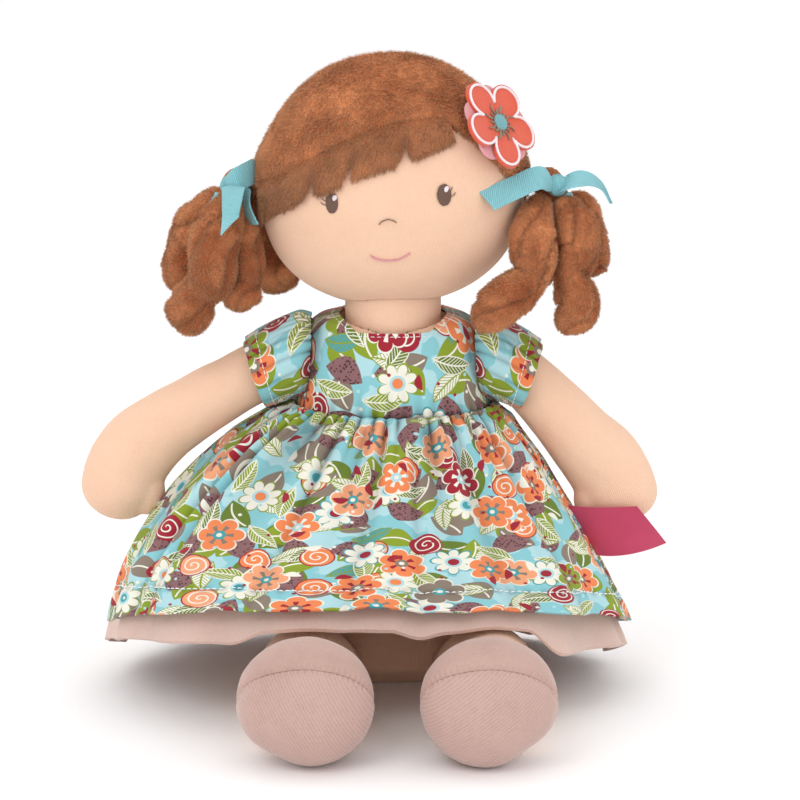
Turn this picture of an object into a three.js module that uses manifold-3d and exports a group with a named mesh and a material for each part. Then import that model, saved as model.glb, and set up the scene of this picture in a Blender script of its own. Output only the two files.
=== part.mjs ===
// A seated rag doll: stuffed body, jointed limbs, plush hair in two bunches of curls, and a gathered dress.
// Millimetres, +Z up. The doll faces -Y, its own left hand is at +X, and the seat rests on z = 0.
import * as THREE from 'three';
import { mergeVertices } from 'three/addons/utils/BufferGeometryUtils.js';
import Module from 'manifold-3d';

const wasm = await Module();
wasm.setup();

// Clearances and cloth
const seam = 0.3; // between neighbouring pieces
const sameCorner = 1e-5; // corners nearer than this are one
const weldDistance = 2e-3; // corners that a cut left nearer than this are welded
const overrun = 20; // how far a cutter reaches past what it cuts
const cotton = 1.1; // printed cotton, folded and pressed
const velour = 1.6; // the velour of the underskirt
const clothEase = 0.8; // air between a garment and the body
const layerEase = 0.9; // air between the dress and its underskirt
const stripThick = 0.5; // hook and loop strips of the closure

// Torso
const seatWidth = 86;
const seatDepth = 66;
const torsoHeight = 155;
const torsoBack = 2; // how far the torso's middle lies behind the neck
const torsoPower = 2.3; // squareness of its sections

// Neck and its two seats
const neckWidth = 40;
const neckEase = 0.7; // clearance of the neck's round ends in their seats
const nodHeight = 145;
const tiltHeight = 166;
const nodLimit = 13; // degrees either way
const necklineWidth = 47;
const necklineDepth = 52;
const necklineLow = 153.5;
const necklineForward = 2;
const necklineSlope = 4; // degrees, it dips towards the front

// Head
const headWidth = 110;
const headDepth = 88;
const headHeight = 98;
const headMiddle = 212;
const headSide = -1;
const headLean = -3.5; // degrees, the right-hand side of the picture is higher
const jawDrop = 7; // how much wider the cheeks are than the temples

// Hair
const hairPile = 4.2;
const fringePile = 4;
const partDepth = 2; // where the hairline turns the side of the head

// Arms
const shoulderHeight = 139;
const armholeWidth = 70; // over both armhole seams
const armWidth = 25;
const armRootWidth = 24.5;
const thumbWidth = 15;
const rightArm = { side: -1, reach: 81, drop: 71, fore: 6, droop: 4, shares: [[0, 0], [0.12, 0.03],
  [0.33, 0.165], [0.52, 0.285], [0.77, 0.465], [0.915, 0.62], [0.975, 0.79], [1, 1]] };
const leftArm = { side: 1, reach: 61, drop: 73, fore: 4, droop: 9, shares: [[0, 0], [0.14, 0.04],
  [0.33, 0.165], [0.52, 0.32], [0.72, 0.51], [0.88, 0.66], [0.97, 0.82], [1, 1]] };

// Sleeves
const sleeveRoot = 31;
const sleeveLength = 26;
const sleeveFlare = 4; // further out to the front and back at the hem
const sleeveTaper = 2; // lower over the arm at the hem
const sleeveEase = 1.6; // clearance of a sleeve's root in its armhole
const sleeveUnder = 15; // shorter under the arm than over it
const underDroop = 0.2; // how much of the arm's droop its underside follows, as a share

// Legs and shoes
const hipForward = 36;
const hipHeight = 13.4;
const legWidth = 40;
const legHeight = 42; // at the ankle, seated
const rootWidth = 42; // where the flattened leg is sewn in
const legLength = 80; // hip axis to the ankle's end in the shoe
const rightLegSide = -34;
const leftLegSide = 37.4;
const shoeWidth = 54;
const shoeHeight = 51;
const shoeDepth = 47;
const shoeForward = 91; // hip axis to the middle of the shoe
const soleTilt = 42; // degrees, the sole's seam leans forward at the top
const seatCut = 0.5; // how deep a stuffed form is pressed flat where it rests

// Skirt: waist, hem, and the pull of the fall between them
const waistHeight = 116;
const waistWidth = 82;
const waistDepth = 66;
const hemWidth = 213;
const hemDepth = 168;
const hemSide = -10;
const hemForward = 17;
const hemHeight = 21; // at the sides
const hemRise = 33; // how much higher the hem is in front, over the legs
const hemFall = 5; // how much lower it is behind
const foldDepth = 5;
const foldCount = 14;
const foldDrift = 1.7; // how unevenly the folds are spaced, in radians
const hemPower = 2.3; // squareness of the hem
const underskirtTop = 0.9; // how far up the fall it is sewn in, as a share
const underskirtDrop = 6;
const legDip = 7; // how far the underskirt falls between the legs

// Tag in the side seam
const tagLength = 31;
const tagWidth = 25;
const tagThick = 0.8;
const tagBend = 0.38; // how far it has turned forward, as a share of its length

// Bunches of curls
const tieForward = 2;
const tieHeight = 209;
const tieBeside = 9.5; // the middle of a tie stands this far outside the head
const rightTieSide = -(headWidth / 2 + tieBeside);
const leftTieSide = headWidth / 2 + tieBeside;
const tieWidth = 14;
const stalkWidth = 10;
const stalkLength = 14;
const curlWidth = 17;
const curlWave = 1.8; // radius of the curl's own spiral
const curlTurns = 2;
const curlHang = 62; // tie to the lowest tip

// Ribbons
const ribbonWidth = 9;
const ribbonThick = 0.8;
const bandThick = 2;
const tailLength = 20;

// Flower
const flowerWidth = 36;
const feltThick = 1.4;
const petalCount = 5;
const centreWidth = 7;

const turn = 2 * Math.PI;
const vector = (x, y, z) => new THREE.Vector3(x, y, z);
const radians = THREE.MathUtils.degToRad;
const mix = THREE.MathUtils.lerp;
const smooth = THREE.MathUtils.smoothstep;

const colours = {
  skin: new THREE.MeshStandardMaterial({ color: 0xf0c8aa, roughness: 0.95, metalness: 0 }),
  hair: new THREE.MeshStandardMaterial({ color: 0x94522f, roughness: 1, metalness: 0 }),
  print: new THREE.MeshStandardMaterial({ color: 0xa5dce3, roughness: 0.85, metalness: 0 }),
  velour: new THREE.MeshStandardMaterial({ color: 0xceb4a8, roughness: 0.95, metalness: 0 }),
  shoe: new THREE.MeshStandardMaterial({ color: 0xc8a59c, roughness: 0.95, metalness: 0 }),
  ribbon: new THREE.MeshStandardMaterial({ color: 0x9ad3db, roughness: 0.7, metalness: 0 }),
  tag: new THREE.MeshStandardMaterial({ color: 0xc2415f, roughness: 0.6, metalness: 0 }),
  felt: new THREE.MeshStandardMaterial({ color: 0xe05632, roughness: 0.95, metalness: 0 }),
  feltBack: new THREE.MeshStandardMaterial({ color: 0xe6a3a8, roughness: 0.95, metalness: 0 }),
  knot: new THREE.MeshStandardMaterial({ color: 0x8fc9cf, roughness: 0.8, metalness: 0 }),
};

// Turns a mesh's faces outwards: the sum of the volumes under its triangles is then above zero.
function facingOut(points, faces) {
  let volume = 0;
  const crossed = vector(0, 0, 0);
  for (const [a, b, c] of faces) volume += points[a].dot(crossed.crossVectors(points[b], points[c]));
  const ordered = volume < 0 ? faces.map(([a, b, c]) => [a, c, b]) : faces;
  const geometry = new THREE.BufferGeometry();
  geometry.setAttribute('position', new THREE.Float32BufferAttribute(points.flatMap((p) => p.toArray()), 3));
  geometry.setIndex(ordered.flat());
  return geometry;
}

// A closed form from rings of a surface(around, along). A ring with no width becomes a single point.
function closedForm(surface, columns, rows, spacing = (share) => share) {
  const points = [];
  const rings = [];
  for (let row = 0; row <= rows; row += 1) {
    const ring = [];
    for (let column = 0; column < columns; column += 1) {
      ring.push(surface(column / columns, spacing(row / rows), row));
    }
    const middle = ring.reduce((sum, p) => sum.add(p), vector(0, 0, 0)).divideScalar(columns);
    const isPole = ring.every((p) => p.distanceTo(middle) < sameCorner);
    const isEnd = row === 0 || row === rows;
    const first = points.length;
    if (!isPole) points.push(...ring);
    if (isPole || isEnd) points.push(middle);
    rings.push({ first, isPole, centre: points.length - 1 });
  }
  const faces = [];
  const at = (ring, column) => (ring.isPole ? ring.centre : ring.first + (column % columns));
  const fan = (ring, flipped) => {
    for (let column = 0; column < columns && !ring.isPole; column += 1) {
      const edge = [at(ring, column), at(ring, column + 1)];
      faces.push(flipped ? [edge[1], edge[0], ring.centre] : [...edge, ring.centre]);
    }
  };
  fan(rings[0], true);
  for (let row = 0; row < rows; row += 1) {
    for (let column = 0; column < columns; column += 1) {
      const [a, b] = [at(rings[row], column), at(rings[row], column + 1)];
      const [c, d] = [at(rings[row + 1], column), at(rings[row + 1], column + 1)];
      if (a !== b) faces.push([a, b, d]);
      if (c !== d) faces.push([a, d, c]);
    }
  }
  fan(rings[rows], false);
  return facingOut(points, faces);
}

// Cloth between two surfaces(across, along), as a closed sheet or, with isRound, as a closed tube.
function clothForm(outer, inner, columns, rows, isRound = false) {
  const points = [];
  const across = isRound ? columns : columns + 1;
  for (const layer of [outer, inner]) {
    for (let row = 0; row <= rows; row += 1) {
      for (let column = 0; column < across; column += 1) points.push(layer(column / columns, row / rows));
    }
  }
  const at = (layer, row, column) => (layer * (rows + 1) + row) * across + (column % across);
  const faces = [];
  const quad = (a, b, c, d) => faces.push([a, b, c], [a, c, d]);
  for (let row = 0; row < rows; row += 1) {
    for (let column = 0; column < columns; column += 1) {
      quad(at(0, row, column), at(0, row, column + 1), at(0, row + 1, column + 1), at(0, row + 1, column));
      quad(at(1, row, column), at(1, row + 1, column), at(1, row + 1, column + 1), at(1, row, column + 1));
    }
    if (!isRound) {
      quad(at(0, row, 0), at(0, row + 1, 0), at(1, row + 1, 0), at(1, row, 0));
      quad(at(0, row, columns), at(1, row, columns), at(1, row + 1, columns), at(0, row + 1, columns));
    }
  }
  for (let column = 0; column < columns; column += 1) {
    quad(at(0, 0, column), at(1, 0, column), at(1, 0, column + 1), at(0, 0, column + 1));
    quad(at(0, rows, column), at(0, rows, column + 1), at(1, rows, column + 1), at(1, rows, column));
  }
  return facingOut(points, faces);
}

// A surface moved out along its normal, by a distance or by a function of (around, along).
function outside(surface, distance) {
  const step = 1e-3;
  const amount = typeof distance === 'function' ? distance : () => distance;
  return (u, v) => {
    const along = v > 0.5 ? surface(u, v).sub(surface(u, v - step)) : surface(u, v + step).sub(surface(u, v));
    const around = surface(u + step, v).sub(surface(u - step, v));
    const normal = around.cross(along).normalize();
    return surface(u, v).addScaledVector(normal, amount(u, v));
  };
}

// A smooth curve through rows of shares, read at a share of its length.
function curveThrough(rows) {
  const curve = new THREE.CatmullRomCurve3(rows.map((row) => vector(row[0], row[1] ?? 0, row[2] ?? 0)));
  return (share) => curve.getPoint(share);
}

// A point of a squared-off circle, read by its true angle.
function squaredCircle(share, power) {
  const [c, s] = [Math.cos(turn * share), Math.sin(turn * share)];
  const reach = (Math.abs(c) ** power + Math.abs(s) ** power) ** (-1 / power);
  return [c * reach, s * reach];
}

function solidOf(geometry) {
  const bare = geometry.clone();
  for (const name of Object.keys(bare.attributes)) if (name !== 'position') bare.deleteAttribute(name);
  const merged = mergeVertices(bare, sameCorner);
  return new wasm.Manifold(new wasm.Mesh({
    numProp: 3,
    vertProperties: new Float32Array(merged.attributes.position.array),
    triVerts: new Uint32Array(merged.index.array),
  }));
}

// The largest body of a solid, so that no crumb of a cut is left.
function geometryOf(solid) {
  const bodies = solid.decompose();
  const body = bodies.reduce((best, next) => (next.volume() > best.volume() ? next : best));
  const mesh = body.getMesh();
  const geometry = new THREE.BufferGeometry();
  geometry.setAttribute('position', new THREE.Float32BufferAttribute(mesh.vertProperties, 3));
  geometry.setIndex(Array.from(mesh.triVerts));
  return withoutSlivers(geometry);
}

// Welds corners that a cut left closer than this, and drops the triangles that close up. A corner pair that
// falls on two sides of one grid's line is caught by the next, finer grid.
const weldShares = [1, 0.67, 0.45];
function withoutSlivers(geometry) {
  return weldShares.reduce((welded, share) => {
    const merged = mergeVertices(welded, weldDistance * share);
    const index = merged.index.array;
    const kept = [];
    for (let first = 0; first < index.length; first += 3) {
      const [a, b, c] = [index[first], index[first + 1], index[first + 2]];
      if (a !== b && b !== c && c !== a) kept.push(a, b, c);
    }
    merged.setIndex(kept);
    return merged;
  }, geometry);
}

function cut(geometry, ...cutters) {
  return geometryOf(cutters.reduce((solid, cutter) => solid.subtract(solidOf(cutter)), solidOf(geometry)));
}

function join(...geometries) {
  return geometryOf(geometries.map(solidOf).reduce((sum, next) => sum.add(next)));
}

function keepInside(geometry, ...keepers) {
  return geometryOf(keepers.reduce((solid, keeper) => solid.intersect(solidOf(keeper)), solidOf(geometry)));
}

// A block from one corner to the opposite one.
function block(low, high) {
  const geometry = new THREE.BoxGeometry(high[0] - low[0], high[1] - low[1], high[2] - low[2]);
  return geometry.translate((low[0] + high[0]) / 2, (low[1] + high[1]) / 2, (low[2] + high[2]) / 2);
}

// Everything below a level, over a square as wide as reach.
function floorBlock(level, reach) {
  return block([-reach, -reach, level - reach], [reach, reach, level]);
}

function ovoid(width, depth, height, columns, rows) {
  return new THREE.SphereGeometry(1 / 2, columns, rows).rotateX(Math.PI / 2).scale(width, depth, height);
}

const parts = {};
function place(group, name, geometry, material) {
  geometry.computeVertexNormals();
  const mesh = new THREE.Mesh(geometry, material);
  mesh.name = name;
  group.add(mesh);
  parts[name] = mesh;
}

// The stuffed torso as a surface: v climbs from the seat to the shoulders.
const torsoShares = [[0, 0.74, 0.62], [0.06, 0.92, 0.86], [0.16, 1, 1], [0.34, 0.99, 0.98],
  [0.52, 0.95, 0.93], [0.7, 0.9, 0.88], [0.81, 0.86, 0.85], [0.9, 0.85, 0.81], [0.965, 0.78, 0.72],
  [1, 0.46, 0.46]];
const torsoProfile = curveThrough(torsoShares);
function torsoSurface(u, v) {
  const [c, s] = squaredCircle(u, torsoPower);
  const share = torsoProfile(v);
  return vector(c * share.y * seatWidth / 2, torsoBack + s * share.z * seatDepth / 2, share.x * torsoHeight);
}

// The share of the torso's profile at a height.
function torsoShareAt(height) {
  let [low, high] = [0, 1];
  while (high - low > 1e-5) {
    const middle = (low + high) / 2;
    if (torsoProfile(middle).x * torsoHeight < height) low = middle;
    else high = middle;
  }
  return low;
}

// The neck is a stuffed tube with a ball at each end, one seated in the torso and one in the head.
const neckRadius = neckWidth / 2;
function neckForm() {
  const capSteps = 4;
  const outline = [];
  for (let step = 0; step <= capSteps; step += 1) {
    const angle = (step / capSteps) * Math.PI / 2;
    outline.push(new THREE.Vector2(neckRadius * Math.sin(angle), nodHeight - neckRadius * Math.cos(angle)));
  }
  for (let step = 0; step <= capSteps; step += 1) {
    const angle = (step / capSteps) * Math.PI / 2;
    outline.push(new THREE.Vector2(neckRadius * Math.cos(angle), tiltHeight + neckRadius * Math.sin(angle)));
  }
  outline[0].x = 0;
  outline[outline.length - 1].x = 0;
  return new THREE.LatheGeometry(outline, 24).rotateX(Math.PI / 2);
}

// The hollow that lets the neck nod: a ball seat that opens into a cone.
function nodClearance() {
  const radius = neckRadius + neckEase;
  const top = torsoHeight + overrun;
  const mouth = radius + (top - nodHeight) * Math.tan(radians(nodLimit));
  const outline = [];
  const steps = 5;
  for (let step = 0; step <= steps; step += 1) {
    const angle = (step / steps) * Math.PI / 2;
    outline.push(new THREE.Vector2(radius * Math.sin(angle), nodHeight - radius * Math.cos(angle)));
  }
  outline[0].x = 0;
  outline.push(new THREE.Vector2(mouth, top), new THREE.Vector2(0, top));
  return new THREE.LatheGeometry(outline, 24).rotateX(Math.PI / 2);
}

function ball(radius, columns, rows) {
  return new THREE.SphereGeometry(radius, columns, rows).rotateX(Math.PI / 2);
}

function hipRoll(extra) {
  const radius = hipHeight - seatCut + extra;
  const width = leftLegSide - rightLegSide + legWidth + overrun;
  return new THREE.CylinderGeometry(radius, radius, width, 24).rotateZ(Math.PI / 2)
    .translate((leftLegSide + rightLegSide) / 2, -hipForward, hipHeight);
}

// What a sleeve's root and the arm inside it take from the body, on both sides.
function armholes() {
  const radius = sleeveRoot / 2 + cotton + sleeveEase;
  return [-1, 1].map((side) => new THREE.CylinderGeometry(radius, radius, overrun, 24)
    .rotateZ(Math.PI / 2).translate(side * (armholeWidth / 2 + overrun / 2), 0, shoulderHeight));
}

function torsoForm(extra) {
  return closedForm(extra > 0 ? outside(torsoSurface, extra) : torsoSurface, 22, 11);
}

function buildTorso(group) {
  const form = cut(torsoForm(0), nodClearance(), hipRoll(seam), ...armholes());
  place(group, 'torso', form, colours.skin);
}

// The bodice: cloth over the torso from the waist seam to the neckline, in a front and two backs that
// overlap behind. The overlap's outer half lifts over the inner half and the two closure strips.
const overlapShare = 0.035;
const liftShare = 0.09;
const innerBack = clothEase + cotton;
const hookAt = innerBack + seam;
const loopAt = hookAt + stripThick + seam;
const outerBack = loopAt + stripThick + 2 * seam;
function bodicePiece(startShare, endShare, ease, columns) {
  const low = torsoShareAt(waistHeight + seam);
  const surface = (distance) => {
    const out = outside(torsoSurface, distance);
    return (u, v) => out(mix(startShare, endShare, u), mix(low, 1, v));
  };
  const lifted = (around, extra) => ease(around) + extra;
  const raw = clothForm(surface((u) => lifted(u, cotton)), surface((u) => lifted(u, 0)), columns, 6);
  return cut(raw, torsoForm(seam), necklineCutter(), nodClearance(), ...armholes());
}

// An oval through the neckline, wide enough for the neck to nod and lower in front than behind.
function necklineCutter() {
  return new THREE.CylinderGeometry(1 / 2, 1 / 2, overrun, 32).rotateX(Math.PI / 2)
    .scale(necklineWidth, necklineDepth, 1).translate(0, 0, overrun / 2)
    .rotateX(radians(necklineSlope)).translate(0, -necklineForward, necklineLow);
}

function buildBodice(group) {
  const flat = () => clothEase;
  const frontStart = 0.5 + seam / seatWidth;
  const frontEnd = 1 - seam / seatWidth;
  place(group, 'bodice_front', bodicePiece(frontStart, frontEnd, flat, 18), colours.print);
  const behind = 0.25;
  const lift = (u) => mix(clothEase, outerBack, smooth(u, behind - liftShare, behind - overlapShare));
  place(group, 'bodice_back_left', bodicePiece(0, behind + overlapShare, lift, 12), colours.print);
  const inner = bodicePiece(behind - overlapShare, 0.5, flat, 10);
  place(group, 'bodice_back_right', inner, colours.print);
  const strips = { closure_hook_strip: hookAt, closure_loop_strip: loopAt };
  const inset = overlapShare / 4;
  const stripShares = [0.12, 0.62];
  for (const [name, distance] of Object.entries(strips)) {
    const low = torsoShareAt(waistHeight);
    const layer = (depth) => {
      const out = outside(torsoSurface, depth);
      return (u, v) => out(behind + mix(-overlapShare + inset, overlapShare - inset, u),
        mix(low, 1, mix(stripShares[0], stripShares[1], v)));
    };
    place(group, name, clothForm(layer(distance + stripThick), layer(distance), 4, 4), colours.knot);
  }
}

// Head: layers of a rounded form with full cheeks, each proud of the skin, in a frame at its middle.
const headFrame = new THREE.Matrix4().makeRotationY(radians(headLean))
  .setPosition(headSide, 0, headMiddle);
const toHead = headFrame.clone().invert();
const cheekAt = (rise) => 1 - (jawDrop / headWidth) * Math.sin(2 * rise);
function headLayer(proud) {
  const [wide, deep, tall] = [headWidth / 2 + proud, headDepth / 2 + proud, headHeight / 2 + proud];
  return (u, v) => {
    const rise = Math.PI * (v - 0.5);
    const level = Math.cos(rise);
    return vector(Math.cos(turn * u) * level * cheekAt(rise) * wide, Math.sin(turn * u) * level * deep,
      Math.sin(rise) * tall);
  };
}

function headForm(proud) {
  return closedForm(headLayer(proud), 24, 13);
}

// The point of a layer over the head seen straight from the front at (x, z).
function onHead(x, z, proud) {
  const rise = Math.asin(Math.max(-1, Math.min(1, z / (headHeight / 2 + proud))));
  const half = Math.cos(rise) * cheekAt(rise) * (headWidth / 2 + proud);
  const front = Math.sqrt(Math.max(1 - (x / Math.max(half, proud)) ** 2, 0));
  return vector(x, -Math.cos(rise) * (headDepth / 2 + proud) * front, z);
}

// The hairline over the forehead as points (side, height) from the head's middle, in shares of its half size.
const hairlineShares = [[-1.04, 0.02], [-0.98, 0.1], [-0.79, 0.17], [-0.56, 0.33], [-0.27, 0.47],
  [0.03, 0.575], [0.25, 0.6], [0.46, 0.565]];
const hairSideShares = [[0.58, 0.47], [0.7, 0.345], [0.8, 0.22], [0.93, 0.02], [1.02, -0.1]];
const fringeLowShares = [[-1, -0.33], [-0.9, -0.2], [-0.5, 0.015], [-0.2, 0.15], [0.2, 0.27], [0.5, 0.38]];
const napeShares = [[-1.2, -0.14], [0.06, -0.14], [0.2, -0.3], [0.5, -0.52], [1, -0.72], [1.4, -0.8]];

function faceWindow() {
  const [wide, tall] = [headWidth / 2, headHeight / 2];
  const shares = [...hairlineShares, ...hairSideShares];
  const outline = shares.map(([x, z]) => new THREE.Vector2(x * wide, z * tall));
  const low = -tall - overrun;
  outline[0].x -= overrun;
  outline[outline.length - 1].x += overrun;
  const first = new THREE.Vector2(outline[0].x, low);
  const last = new THREE.Vector2(outline[outline.length - 1].x, low);
  const shape = new THREE.Shape([first, ...outline, last]);
  const depth = headDepth / 2 + overrun - partDepth;
  const geometry = new THREE.ExtrudeGeometry(shape, { depth, bevelEnabled: false, steps: 1 });
  return geometry.rotateX(Math.PI / 2).translate(0, -partDepth, 0);
}

function napeCutter() {
  const [deep, tall] = [headDepth / 2, headHeight / 2];
  const low = -tall - overrun;
  const outline = napeShares.map(([y, z]) => new THREE.Vector2(y * deep, z * tall));
  const shape = new THREE.Shape([new THREE.Vector2(outline[0].x, low), ...outline,
    new THREE.Vector2(outline[outline.length - 1].x, low)]);
  const width = headWidth + 2 * overrun;
  const geometry = new THREE.ExtrudeGeometry(shape, { depth: width, bevelEnabled: false, steps: 1 });
  const basis = new THREE.Matrix4().makeBasis(vector(0, 1, 0), vector(0, 0, 1), vector(1, 0, 0));
  return geometry.applyMatrix4(basis).translate(-width / 2, 0, 0);
}

const flowerShares = [0.79, -0.46, 0.5];
const flowerTurn = 0.35;
function flowerFrame() {
  const [x, z] = [flowerShares[0] * headWidth / 2, flowerShares[2] * headHeight / 2];
  const seat = onHead(x, z, hairPile + seam);
  const halves = [headWidth / 2, headDepth / 2, headHeight / 2];
  const [a, b, c] = halves.map((half) => (half + hairPile + seam) ** 2);
  const out = vector(seat.x / a, seat.y / b, seat.z / c).normalize();
  const turned = new THREE.Quaternion().setFromUnitVectors(vector(0, 0, 1), out);
  const twist = new THREE.Quaternion().setFromAxisAngle(vector(0, 0, 1), flowerTurn);
  const foot = seat.addScaledVector(out, seam);
  return new THREE.Matrix4().compose(foot, turned.multiply(twist), vector(1, 1, 1));
}

// A five-petalled felt shape: the radius swells and draws in once for each petal.
function petalShape(radius, spinShare) {
  const shape = new THREE.Shape();
  const steps = 9 * petalCount;
  for (let step = 0; step < steps; step += 1) {
    const angle = (turn * step) / steps;
    const swell = Math.abs(Math.cos((petalCount * angle) / 2 + spinShare * Math.PI));
    const reach = radius * (0.6 + 0.4 * Math.sqrt(swell));
    if (step === 0) shape.moveTo(reach * Math.cos(angle), reach * Math.sin(angle));
    else shape.lineTo(reach * Math.cos(angle), reach * Math.sin(angle));
  }
  shape.closePath();
  return new THREE.ExtrudeGeometry(shape, { depth: feltThick, bevelEnabled: false, steps: 1 });
}

function buildFlower(group) {
  const frame = flowerFrame();
  const back = petalShape(flowerWidth / 2 - feltThick, 0.5);
  place(group, 'flower_back', back.applyMatrix4(frame), colours.feltBack);
  const front = petalShape(flowerWidth / 2, 0).translate(0, 0, feltThick + seam);
  place(group, 'flower_petals', front.applyMatrix4(frame), colours.felt);
  const dome = ball(centreWidth / 2, 14, 8).scale(1, 1, 1 / 2);
  const knot = cut(dome, floorBlock(0, centreWidth));
  knot.translate(0, 0, 2 * (feltThick + seam));
  place(group, 'flower_centre', knot.applyMatrix4(frame), colours.knot);
}

function tiePoint(side) {
  return vector(side, tieForward, tieHeight);
}

function buildHead(group) {
  const neckSeat = ball(neckRadius + neckEase, 24, 14).translate(0, 0, tiltHeight).applyMatrix4(toHead);
  place(group, 'head', cut(headForm(0), neckSeat), colours.skin);
  const tieSeats = [rightTieSide, leftTieSide].map((side) => ball(tieWidth / 2 + seam, 16, 10)
    .translate(...tiePoint(side).toArray()).applyMatrix4(toHead));
  const cap = cut(headForm(hairPile), faceWindow(), napeCutter(), headForm(seam), ...tieSeats);
  place(group, 'hair_cap', cap, colours.hair);
  buildFringe(group, tieSeats);
  buildFlower(group);
}

const fringeFit = 0.975; // how near the head's outline the strip runs at its sides, as a share
function buildFringe(group, tieSeats) {
  const [wide, tall] = [headWidth / 2, headHeight / 2];
  const top = curveThrough(hairlineShares.slice(1));
  const bottom = curveThrough(fringeLowShares);
  const layer = (proud) => (u, v) => {
    const [high, low] = [top(u), bottom(u)];
    const x = mix(high.x, low.x, v) * wide;
    const z = mix(high.y * tall - 2 * seam, low.y * tall, v);
    const fit = Math.min(1, fringeFit / Math.hypot(x / (wide + proud), z / (tall + proud)));
    return onHead(x * fit, z * fit, proud);
  };
  const strip = clothForm(layer(fringePile), layer(0), 18, 3);
  place(group, 'fringe', cut(strip, headForm(seam), ...tieSeats), colours.hair);
}

// The sideways direction at each row of a tube, carried along its route without twisting.
function carriedSides(route, rows, spacing, upward) {
  const sides = [];
  let side = upward.clone().cross(route.getTangent(0)).normalize();
  for (let row = 0; row <= rows; row += 1) {
    const tangent = route.getTangent(spacing(row / rows));
    side = side.clone().addScaledVector(tangent, -side.dot(tangent)).normalize();
    sides.push(side);
  }
  return sides;
}

// A stuffed tube along a route: widths by share of its length, rounded at the ends that are asked for, and
// grown by extra all round.
function stuffedTube({ route, width, depth, columns, rows, upward, roundStart = 0, roundEnd = 0.12,
  extra = 0 }) {
  const endRound = (share) => {
    const start = roundStart > 0 ? Math.min(share / roundStart, 1) : 1;
    const end = roundEnd > 0 ? Math.min((1 - share) / roundEnd, 1) : 1;
    return Math.sqrt(1 - (1 - start) ** 2) * Math.sqrt(1 - (1 - end) ** 2);
  };
  const spacing = (share) => mix(share, (1 - Math.cos(Math.PI * share)) / 2, roundStart > 0 ? 1 : 0.6);
  const sides = carriedSides(route, rows, spacing, upward);
  const surface = (u, v, row) => {
    const tangent = route.getTangent(v);
    const up = tangent.clone().cross(sides[row]);
    const [c, s] = [Math.cos(turn * u), Math.sin(turn * u)];
    const reach = endRound(v) / 2;
    return route.getPoint(v).addScaledVector(sides[row], c * (reach * width(v) + extra))
      .addScaledVector(up, s * (reach * depth(v) + extra)).addScaledVector(tangent, mix(-extra, extra, v));
  };
  return closedForm(surface, columns, rows, spacing);
}

const armWidthShares = [[0, 1], [0.2, 0.98], [0.45, 1], [0.62, 1.12], [0.78, 1.32], [0.9, 1.36], [1, 1.15]];
// The thumb: how far down the arm, its stretch forward and down, and its place in its own widths.
const thumbShares = [0.86, 1.15, 1.4, 0.74, 0.25, 0.1];
function armRoute(arm) {
  return new THREE.CatmullRomCurve3(arm.shares.map(([out, down]) => vector(
    arm.side * (armholeWidth / 2 + seam + out * arm.reach), -arm.fore * down, -down * arm.drop)));
}

// An arm from its sewn root to the mitten hand with its thumb. It grows by extra all round.
function armForm(arm, extra) {
  const profile = curveThrough(armWidthShares.map(([, width], step) => [width, step]));
  const route = armRoute(arm);
  const width = (share) => mix(armRootWidth, profile(share).x * armWidth, smooth(share, 0, 1 / 3));
  const tube = stuffedTube({ route, width, depth: width, columns: 14, rows: 11, upward: vector(0, 1, 0),
    extra });
  const thumbAt = route.getPoint(thumbShares[0]);
  const [, forward, tall, aside, front, low] = thumbShares;
  const thumb = ball(thumbWidth / 2 + extra, 10, 7).scale(1, forward, tall).translate(
    thumbAt.x - arm.side * thumbWidth * aside, thumbAt.y - thumbWidth * front, thumbAt.z - thumbWidth * low);
  const reach = 2 * (arm.reach + armholeWidth);
  const body = block([-reach, -reach, -reach], [armholeWidth / 2 + seam, reach, reach])
    .translate(...(arm.side > 0 ? [0, 0, 0] : [reach - armholeWidth / 2 - seam, 0, 0]));
  return cut(join(tube, thumb), body);
}

function buildArm(group, name, arm) {
  place(group, `${name}_arm`, armForm(arm, 0), colours.skin);
}

// A flutter sleeve round the top of the arm: it spreads towards its hem and is short underneath.
function buildSleeve(group, name, arm) {
  const start = armholeWidth / 2 + seam;
  const surface = (u, v) => {
    const over = Math.sin(turn * u);
    const length = sleeveLength - sleeveUnder * (1 - over) / 2;
    const spread = sleeveRoot / 2 + sleeveFlare * v;
    const tall = sleeveRoot / 2 - sleeveTaper * v;
    const sunk = arm.droop * v ** 1.5 * mix(underDroop, 1, (1 + over) / 2);
    return vector(arm.side * (start + v * length), Math.cos(turn * u) * spread, over * tall - sunk);
  };
  const out = arm.side > 0 ? cotton : -cotton;
  const cloth = clothForm(outside(surface, out), surface, 18, 3, true);
  place(group, `${name}_sleeve`, cut(cloth, armForm(arm, seam)), colours.print);
}

// A leg from its sewn root, rolled at the hip, to the ankle inside the shoe. It grows by extra all round.
function legForm(extra) {
  const flat = hipHeight - seatCut;
  const centre = (share) => mix(0, legHeight / 2 - seatCut - flat, smooth(share, 0, 0.5));
  const steps = [0, 0.25, 0.5, 0.75, 1];
  const middles = steps.map((share) => vector(0, -share * legLength, centre(share)));
  const route = new THREE.CatmullRomCurve3(middles);
  const depth = (share) => mix(2 * flat, legHeight, smooth(share, 0, 0.55));
  const width = (share) => mix(rootWidth, legWidth, smooth(share, 0, 0.6));
  const tube = stuffedTube({ route, width, depth, columns: 18, rows: 5, upward: vector(1, 0, 0), roundEnd: 0,
    extra });
  const root = new THREE.CapsuleGeometry(flat + extra, rootWidth - 2 * flat, 3, 14).rotateZ(Math.PI / 2);
  return join(tube, root);
}

function buildLeg(group, name) {
  const level = seatCut - hipHeight;
  place(group, `${name}_leg`, cut(legForm(0), floorBlock(level, 3 * legLength)), colours.skin);
}

function shoeForm() {
  return ovoid(shoeWidth, shoeDepth, shoeHeight, 18, 11)
    .translate(0, -shoeForward, shoeHeight / 2 - seatCut - hipHeight);
}

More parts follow.
